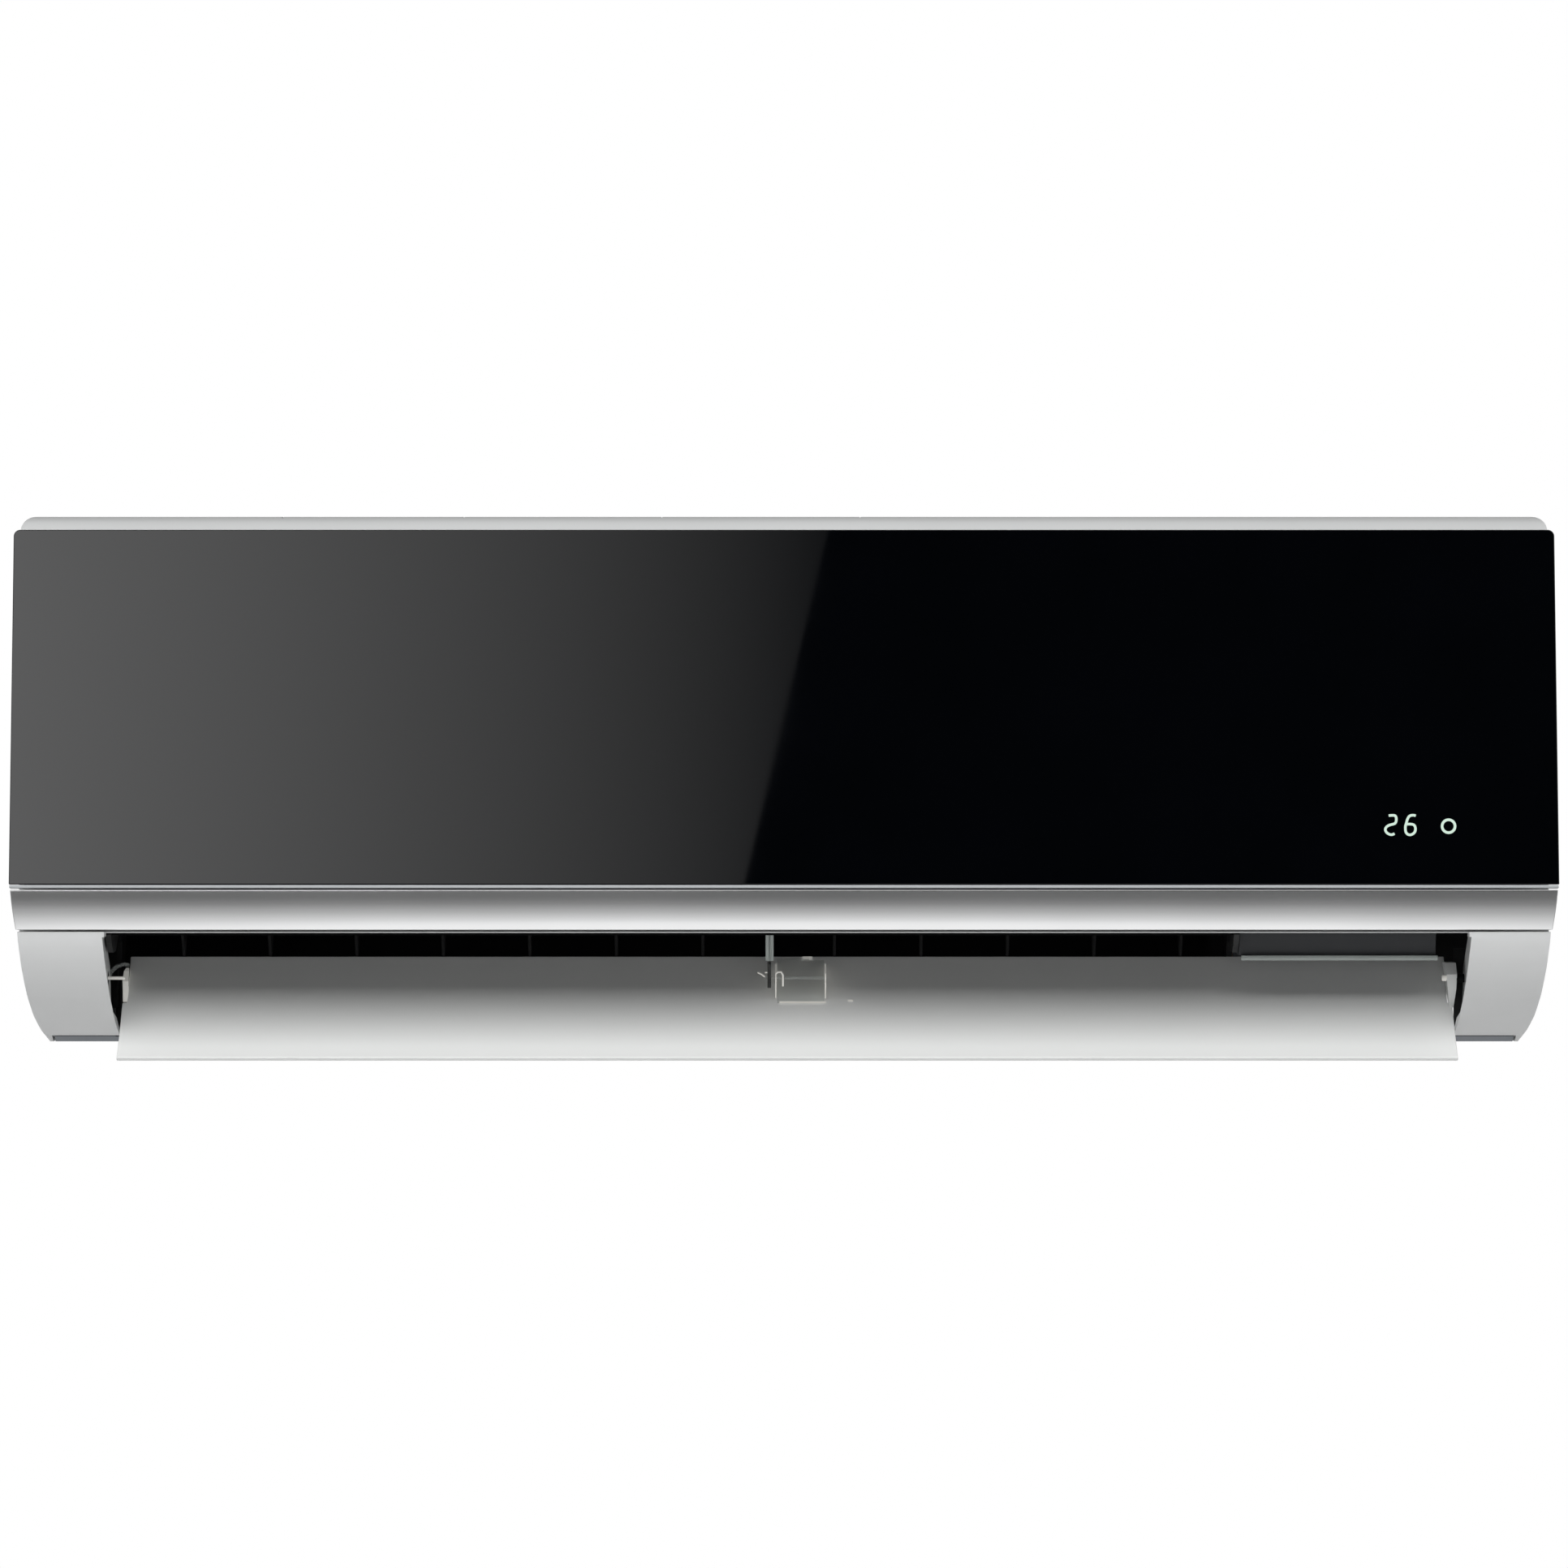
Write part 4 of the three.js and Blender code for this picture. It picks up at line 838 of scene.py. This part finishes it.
class UNIT_OT_louver_fittings(bpy.types.Operator):
    """Builds the louver's end lugs and pins, its middle hinge clip and the clear plate beside it"""

    bl_idname = "unit.louver_fittings"
    bl_label = "Louver fittings"

    def execute(self, context):
        # The left flange glows with painted light.
        flange = self.upright("louver_flange_left", [
            (-368.0, -366.2, -108, -105.0), (-368.2, -365.2, -121, -106.5), (-368.4, -365.0, -128, -112),
            (-368.2, -365.0, -128, -118), (-368.2, -365.6, -128, -123.6), (-367.6, -366.2, -120, -123.6),
            (-367.6, -366.2, -112, -114)])
        settle(flange, "louver", "painted_glow")
        arm = self.upright("drive_arm_right", [
            (367.6, 373.4, -112, -101.5), (367.6, 373.4, -137, -101.5), (367.8, 373.6, -143, -108),
            (368.6, 373.4, -141, -116), (369.8, 372.4, -133, -126.5), (369.8, 372.4, -124, -123)])
        settle(arm, "louver", "louver")
        # The hinge lugs glow with painted light.
        for name, x in (("hinge_lug_left", -4.9), ("hinge_lug_right", 22.7)):
            web = [(-110.5, -102.4), (-127.5, -121.2), (-131.5, -121.4), (-143.6, -112.6), (-143.8, -107.4),
                   (-136, -102.4)]
            lug = self.upright(name, [(x, x + 0.7, y, z) for y, z in web])
            settle(lug, "louver", "painted_glow")
        self.pins()
        self.plate()
        self.hooks()
        self.bracket()
        lip = self.upright("blank_lip", [
            (252.5, 361, -166.4, -96.9), (252.5, 361, -166.8, -98.4), (252.5, 361, -165.6, -99.6),
            (252.5, 361, -162.8, -99.6), (252.5, 361, -162.6, -96.9)])
        settle(lip, "body", "strut")
        # A web of the chassis that closes the slit behind the left pivot.
        web = plain_block("chassis_web_left", (-377.5, -121, -127), (-371.5, -106, -106))
        settle(web, "body", "black")
        return {"FINISHED"}

    def upright(self, name, section):
        """A small moulded web with soft edges; its section is (low X, high X, Y, Z) in millimetres."""
        web = extruded_section(name, [tuple(value * MM for value in station) for station in section])
        soften(web, 0.25 * MM, 2)
        return web

    def pins(self):
        """The round pins at the ends and in the middle, and the pale arm that carries the left one."""
        # The thin left pin and the right knob glow with painted light.
        for name, low, high, radius, finish in (
                ("pivot_pin_left", -376.2, -366, 0.9, "painted_glow"),
                ("pivot_journal_left", -377.9, -375.4, 4.2, "black"),
                ("pivot_pin_right", 373, 377.8, 2.4, "black"),
                ("pivot_knob_right", 365.4, 368, 1.6, "painted_glow"),
                ("pivot_pin_middle", -9.7, 23, 0.9, "clear")):
            clear_selection()
            bpy.ops.mesh.primitive_cylinder_add(
                vertices=32, radius=radius * MM, depth=(high - low) * MM,
                location=LOUVER_PIVOT * MM + metres((low + high) / 2, 0, 0), rotation=(0, math.pi / 2, 0))
            pin = named(bpy.context.object, name)
            fix_place()
            soften(pin, 0.3 * MM, 2)
            settle(pin, "louver", finish)
        arm = [(-375.2, -138.5, -109.8), (-373.6, -139.5, -106.4), (-370.6, -140, -103.6),
               (-366.8, -140, -102.2), (-364.0, -138.5, -102.8)]
        piece = tube("pivot_arm_left", [Vector(place) * MM for place in arm], 1.1 * MM)
        settle(piece, "louver", "clear")

    def plate(self):
        """A clear plate held against the inner face with a clear upper rim; its lower rim, a small tab and
        a pip glow as painted highlights.
        """
        face = curve_points(*LOUVER_INNER, 60)
        for name, low, high, start, end, lift, finish in (
                ("clear_plate", -3.8, 22.4, 2, 26, 0.5, "clear"),
                ("clear_rim_low", -2.6, 23.4, 25, 26, 1.2, "painted_glow"),
                ("clear_rim_top", -3.8, 14, 1, 2, 0.5, "clear"),
                ("rim_tab", 10.4, 15.8, 0, 1, 1.4, "painted_glow"),
                ("sheet_pip", 35.5, 38.5, 24, 25, 0.7, "painted_glow")):
            line = face[start:end + 1]
            over = [(y - 0.35 * lift, z + 0.9 * lift) for y, z in reversed(line)]
            under = [(y - 0.1, z + 0.25) for y, z in line]
            piece = bar(name, low, high, under + over, on_louver)
            soften(piece, 0.1 * MM, 2)
            settle(piece, "louver", finish)

    def hooks(self):
        """Small white hooks that snap over the middle pin, glowing as a painted highlight."""
        hooks = {
            "hinge_hook_point": [(-14.4, -140.5, -106.9), (-12.6, -142.0, -107.7), (-10.6, -142.6, -109.2)],
            "hinge_hook_outer": [(-10.4, -142.2, -106.9), (-8.9, -143.0, -106.7), (-8.4, -143.2, -108.4),
                                 (-8.5, -142.6, -113.4)],
            "hinge_hook_inner": [(-4.6, -143.4, -107.6), (-3.4, -143.8, -106.5), (-1.6, -143.8, -106.5),
                                 (-0.6, -143.4, -108.2), (-0.6, -142.8, -114.5)],
        }
        for name, line in hooks.items():
            hook = tube(name, [Vector(place) * MM for place in line], 0.5 * MM, 12)
            settle(hook, "louver", "painted_glow")

    def bracket(self):
        """The grooved strut that carries the louver's middle; its eye is painted black as shade."""
        strut = merged_copy("louver_strut", "louver_bracket")
        groove = [(-167.1, -81.5), (-151.8, -101.5), (-153.2, -102.5), (-168.6, -82.5)]
        cut_away(strut, bar("groove_cutter", -8.4, -7.6, groove))
        soften(strut, 0.2 * MM, 2)
        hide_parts("louver_bracket")
        settle(strut, "body", "strut")


GAS_ROUTE = ((230, -46, 44), (300, -46, 44), (300, -32, -122), (-150, -32, -122))
LIQUID_ROUTE = ((230, -56, 61), (316, -56, 61), (316, -46, -98), (-110, -46, -98))
HOSE_ROUTE = ((-385.5, -165, -62), (-398, -165, -62), (-398, -128, -92), (-398, -64, -128),
              (-360, -60, -130), (-250, -60, -132))
GAS_RADIUS, LIQUID_RADIUS, HOSE_RADIUS, HOSE_BORE = 4.8, 3.2, 7.5, 5.5


class UNIT_OT_pipes(bpy.types.Operator):
    """Builds the two copper pipes and the corrugated drain hose"""

    bl_idname = "unit.pipes"
    bl_label = "Pipes"

    def execute(self, context):
        for name, node, route, bend, radius in (
                ("gas_line", "gas_pipe", GAS_ROUTE, 16, GAS_RADIUS),
                ("liquid_line", "liquid_pipe", LIQUID_ROUTE, 12, LIQUID_RADIUS)):
            pipe = tube(name, routed(route, bend), radius * MM, 24)
            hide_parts(node)
            settle(pipe, "body", "copper")
        # A point to a millimetre, and so a rib every four.
        path = evenly(routed(HOSE_ROUTE, 11), MM)
        hose = tube("drain_hose_ribbed", path, HOSE_RADIUS * MM, 24,
                    lambda i: 0.94 + 0.06 * math.cos(i * math.pi / 2))
        clear_selection()
        bpy.ops.mesh.primitive_cylinder_add(vertices=32, radius=HOSE_BORE * MM, depth=60 * MM,
                                            location=metres(*HOSE_ROUTE[-1]), rotation=(0, math.pi / 2, 0))
        cut_away(hose, named(bpy.context.object, "bore_cutter"))
        soften(hose, 0)
        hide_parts("drain_hose")
        settle(hose, "body", "hose")
        return {"FINISHED"}


# Pieces that keep the CAD's form and get soft edges: finish, material slot, edge in millimetres, nodes.
KEPT_FORMS = (
    ("galvanised", "galvanised_steel", 0.4, ("fan_motor", "louver_motor")),
    ("galvanised", "galvanised_steel", 0, ("wall_plate",)),
    ("white", "white_plastic", 0.3, ("motor_clamp", "pipe_clamp", "control_box", "control_box_cover",
                                     "manual_button")),
    ("grey", "grey_plastic", 0.3, ("terminal_block", "display_mask", "outlet_blank")),
    ("rubber", "black_rubber", 0.4, ("bearing_holder", "drain_plug")),
    ("brass", "brass_metal", 0.3, ("gas_nut", "liquid_nut", "fan_bearing")),
    ("steel", "bare_steel", 0.3, ("fan_shaft",)),
    ("chassis", "dark_plastic", 0, ("rear_chassis",)),
    ("black", "dark_plastic", 0, ("drain_tray", "panel_carrier", "fan_wheel")),
    ("black", "dark_plastic", 0.2, ("link_left", "link_right", *[f"vane_left_{i}" for i in range(1, 8)],
                                    *[f"vane_right_{i}" for i in range(1, 6)])),
)
CARRIED = {"panel_carrier": "panel", "display_mask": "panel", "fan_wheel": "fan", "fan_shaft": "fan",
           "manual_button": "button"}


class UNIT_OT_kept_forms(bpy.types.Operator):
    """Gives the pieces behind the casing soft edges and smooth curves"""

    bl_idname = "unit.kept_forms"
    bl_label = "Inner pieces"

    def execute(self, context):
        for finish, slot, edge, nodes in KEPT_FORMS:
            for node in nodes:
                body = CARRIED.get(node, node if node.startswith(("vane", "link")) else "body")
                settle(refined(node + "_piece", node, edge * MM), body, finish)
        return {"FINISHED"}


# Painted reflection: how bright polished metal sees the floor, by distance from the unit as a share of the
# floor's radius.
FLOOR_RADIUS = 3.2
FLOOR_PAINTED_REFLECTION = ((0, 1.0), (0.15, 0.96), (0.22, 0.71), (0.34, 0.47), (0.60, 0.24), (1.0, 0.17))


class UNIT_OT_stage(bpy.types.Operator):
    """Builds the floor, the lights, the cards that the glass mirrors, and the camera"""

    bl_idname = "unit.stage"
    bl_label = "Studio"

    def execute(self, context):
        studio = context.scene.unit_studio
        self.camera(context)
        self.world(context, studio.fill_level)
        self.floor(studio.floor_height)
        self.lamp("key_light", (-0.2, -2.6, 2.3), (3.4, 2.4), studio.key_power)
        self.lamp("low_fill_light", (0.2, -3.6, -0.1), (3.0, 1.2), studio.key_power * studio.low_share)
        self.cards()
        view = context.scene.view_settings
        view.view_transform = "Standard"
        return {"FINISHED"}

    def camera(self, context):
        data = bpy.data.cameras.new("photo_camera")
        data.sensor_width = 36
        data.lens = 36 * CAMERA_DISTANCE / PICTURE_WIDTH
        data.clip_end = 100
        camera = bpy.data.objects.new("photo_camera", data)
        camera.location = (0, GLASS_Y - CAMERA_DISTANCE, -0.0022)
        camera.rotation_euler = (math.pi / 2, 0, 0)
        context.scene.collection.objects.link(camera)
        context.scene.camera = camera

    def world(self, context, level):
        """White where it is seen or mirrored, and a plain fill for everything else."""
        world = bpy.data.worlds.new("studio_air")
        context.scene.world = world
        world.use_nodes = True
        tree = world.node_tree
        tree.nodes.clear()
        path = add_node(tree, "LightPath")
        seen = add_node(tree, "Math", {"operation": "MAXIMUM"}, _0=path.outputs["Is Camera Ray"],
                        _1=path.outputs["Is Glossy Ray"])
        seen = add_node(tree, "Math", {"operation": "MAXIMUM"}, _0=seen.outputs[0],
                        _1=path.outputs["Is Transmission Ray"])
        white = add_node(tree, "Background", Color=(1, 1, 1, 1), Strength=1.0)
        fill = add_node(tree, "Background", Color=(1, 1, 1, 1), Strength=level)
        both = add_node(tree, "MixShader", _0=seen.outputs[0], _1=fill.outputs[0],
                        _2=white.outputs[0])
        add_node(tree, "OutputWorld", Surface=both.outputs[0])

    def floor(self, height):
        """A pale round floor that melts into the white air at its rim; to mirror-like rays it glows as a
        painted reflection that fades away from the unit.
        """
        clear_selection()
        bpy.ops.mesh.primitive_circle_add(vertices=96, radius=FLOOR_RADIUS, fill_type="NGON",
                                          location=(0, 0, height))
        floor = named(bpy.context.object, "studio_floor")
        fix_place()
        material, tree, surface, place = new_finish("studio floor, matt white paint", Roughness=0.9,
                                                    Base_Color=linear("#F2F2F2"))
        flat = add_node(tree, "Mapping", Vector=place,
                        Scale=(MM / FLOOR_RADIUS, MM / FLOOR_RADIUS, 0))
        rim = add_node(tree, "TexGradient", {"gradient_type": "QUADRATIC_SPHERE"},
                       Vector=flat.outputs[0])
        solid = add_node(tree, "MapRange", Value=rim.outputs["Fac"], From_Max=0.25)
        # Painted reflection: glossy rays see the floor as a glow that fades with distance from the unit.
        near = add_node(tree, "VectorMath", {"operation": "LENGTH"}, _0=flat.outputs[0])
        painted_reflection_level = add_node(tree, "ValToRGB", Fac=near.outputs["Value"])
        fill_ramp(painted_reflection_level, greys(FLOOR_PAINTED_REFLECTION))
        painted_reflection = add_node(tree, "Emission", Color=painted_reflection_level.outputs[0])
        glossy = add_node(tree, "LightPath").outputs["Is Glossy Ray"]
        ground = add_node(tree, "MixShader", _0=glossy, _1=surface.outputs[0],
                          _2=painted_reflection.outputs[0])
        whole = add_node(tree, "Math", {"operation": "MAXIMUM"}, _0=solid.outputs[0], _1=glossy)
        air = add_node(tree, "BsdfTransparent")
        both = add_node(tree, "MixShader", _0=whole.outputs[0], _1=air.outputs[0],
                        _2=ground.outputs[0])
        output = next(n for n in tree.nodes if n.type == "OUTPUT_MATERIAL")
        tree.links.new(both.outputs[0], output.inputs["Surface"])
        floor.data.materials.append(material)

    def lamp(self, name, place, size, power):
        data = bpy.data.lights.new(name, "AREA")
        data.shape = "RECTANGLE"
        data.size, data.size_y = size
        data.energy = power
        lamp = bpy.data.objects.new(name, data)
        lamp.location = place
        lamp.rotation_euler = (Vector((0, -0.12, 0)) - Vector(place)).to_track_quat("-Z", "Y").to_euler()
        lamp.visible_camera = False
        lamp.visible_glossy = False
        bpy.context.scene.collection.objects.link(lamp)

    def cards(self):
        """A black screen in front of the unit, grey below, with a softbox on its left half."""
        screen = -CARD_DISTANCE - 0.25
        self.card("black_screen", screen, (-2.6, 2.6, 2.6), (0.1, 2.2), (0.0, 0.0))
        self.card("grey_screen", screen, (-2.6, 2.6, 2.6), (-1.3, 0.1), (0.15, 0.15))
        # What the camera sees in the tilted glass lies higher at the cards, and further apart.
        spread = 1 + CARD_DISTANCE / CAMERA_DISTANCE
        rise = CARD_DISTANCE * math.tan(2 * -GLASS_TILT)
        (top_x, top_z), (foot_x, foot_z) = MIRRORED_EDGE
        slope = (top_x - foot_x) / (top_z - foot_z)
        heights = (-0.07 * spread + rise - 0.06, 0.15 * spread + rise + 0.1)
        right = [foot_x * spread + slope * (height - rise - foot_z * spread) for height in heights]
        self.card("softbox", screen + 0.06, (-1.3, *right), heights, (2.42, 0.12))

    def card(self, name, y, sides, heights, lights):
        """An upright sheet that only mirror-like surfaces see, and whose light fades from left to right.

        Its sides are X of the left edge, of the right edge's foot and of its top.
        """
        left, right_low, right_top = sides
        clear_selection()
        bpy.ops.mesh.primitive_plane_add(size=1, location=(0, y, 0), rotation=(math.pi / 2, 0, 0))
        card = named(bpy.context.object, name)
        fix_place()
        for vertex in card.data.vertices:
            up = vertex.co.z > 0
            vertex.co.z = heights[up]
            vertex.co.x = (right_top if up else right_low) if vertex.co.x > 0 else left
        material = bpy.data.materials.new(name + " cloth")
        material.use_nodes = True
        tree = material.node_tree
        tree.nodes.clear()
        place = add_node(tree, "TexCoord")
        across = add_node(tree, "SeparateXYZ", Vector=place.outputs["Object"])
        level = add_node(tree, "MapRange", Value=across.outputs["X"], From_Min=-0.8, From_Max=0.05,
                         To_Min=lights[0], To_Max=lights[1])
        glow = add_node(tree, "Emission", Strength=level.outputs[0])
        add_node(tree, "OutputMaterial", Surface=glow.outputs[0])
        card.data.materials.append(material)
        for ray in ("visible_camera", "visible_diffuse", "visible_shadow", "visible_transmission",
                    "visible_volume_scatter"):
            setattr(card, ray, False)


OPERATORS = (UNIT_OT_finishes, UNIT_OT_casing, UNIT_OT_glass, UNIT_OT_trim, UNIT_OT_display, UNIT_OT_louver,
             UNIT_OT_louver_fittings, UNIT_OT_pipes, UNIT_OT_kept_forms, UNIT_OT_stage)
GROUPS = {"unit_finish": UnitFinish, "unit_shape": UnitShape, "unit_studio": UnitStudio}


class UNIT_PT_panel(bpy.types.Panel):
    """Lists the settings and the steps in the order in which they are run"""

    bl_idname = "UNIT_PT_panel"
    bl_label = "Indoor unit"
    bl_space_type = "VIEW_3D"
    bl_region_type = "UI"
    bl_category = "Indoor Unit"

    def draw(self, context):
        for group, kind in GROUPS.items():
            box = self.layout.box()
            for key in kind.__annotations__:
                box.prop(getattr(context.scene, group), key)
        for operator in OPERATORS:
            self.layout.operator(operator.bl_idname)


def register():
    for kind in (*GROUPS.values(), *OPERATORS, UNIT_PT_panel):
        bpy.utils.register_class(kind)
    for name, kind in GROUPS.items():
        setattr(bpy.types.Scene, name, bpy.props.PointerProperty(type=kind))


def unregister():
    for name in GROUPS:
        delattr(bpy.types.Scene, name)
    for kind in (UNIT_PT_panel, *reversed(OPERATORS), *GROUPS.values()):
        bpy.utils.unregister_class(kind)


def main():
    register()
    for operator in OPERATORS:
        name = operator.bl_idname.split(".")[1]
        getattr(bpy.ops.unit, name)()
    clear_selection()


if __name__ == "__main__":
    main()
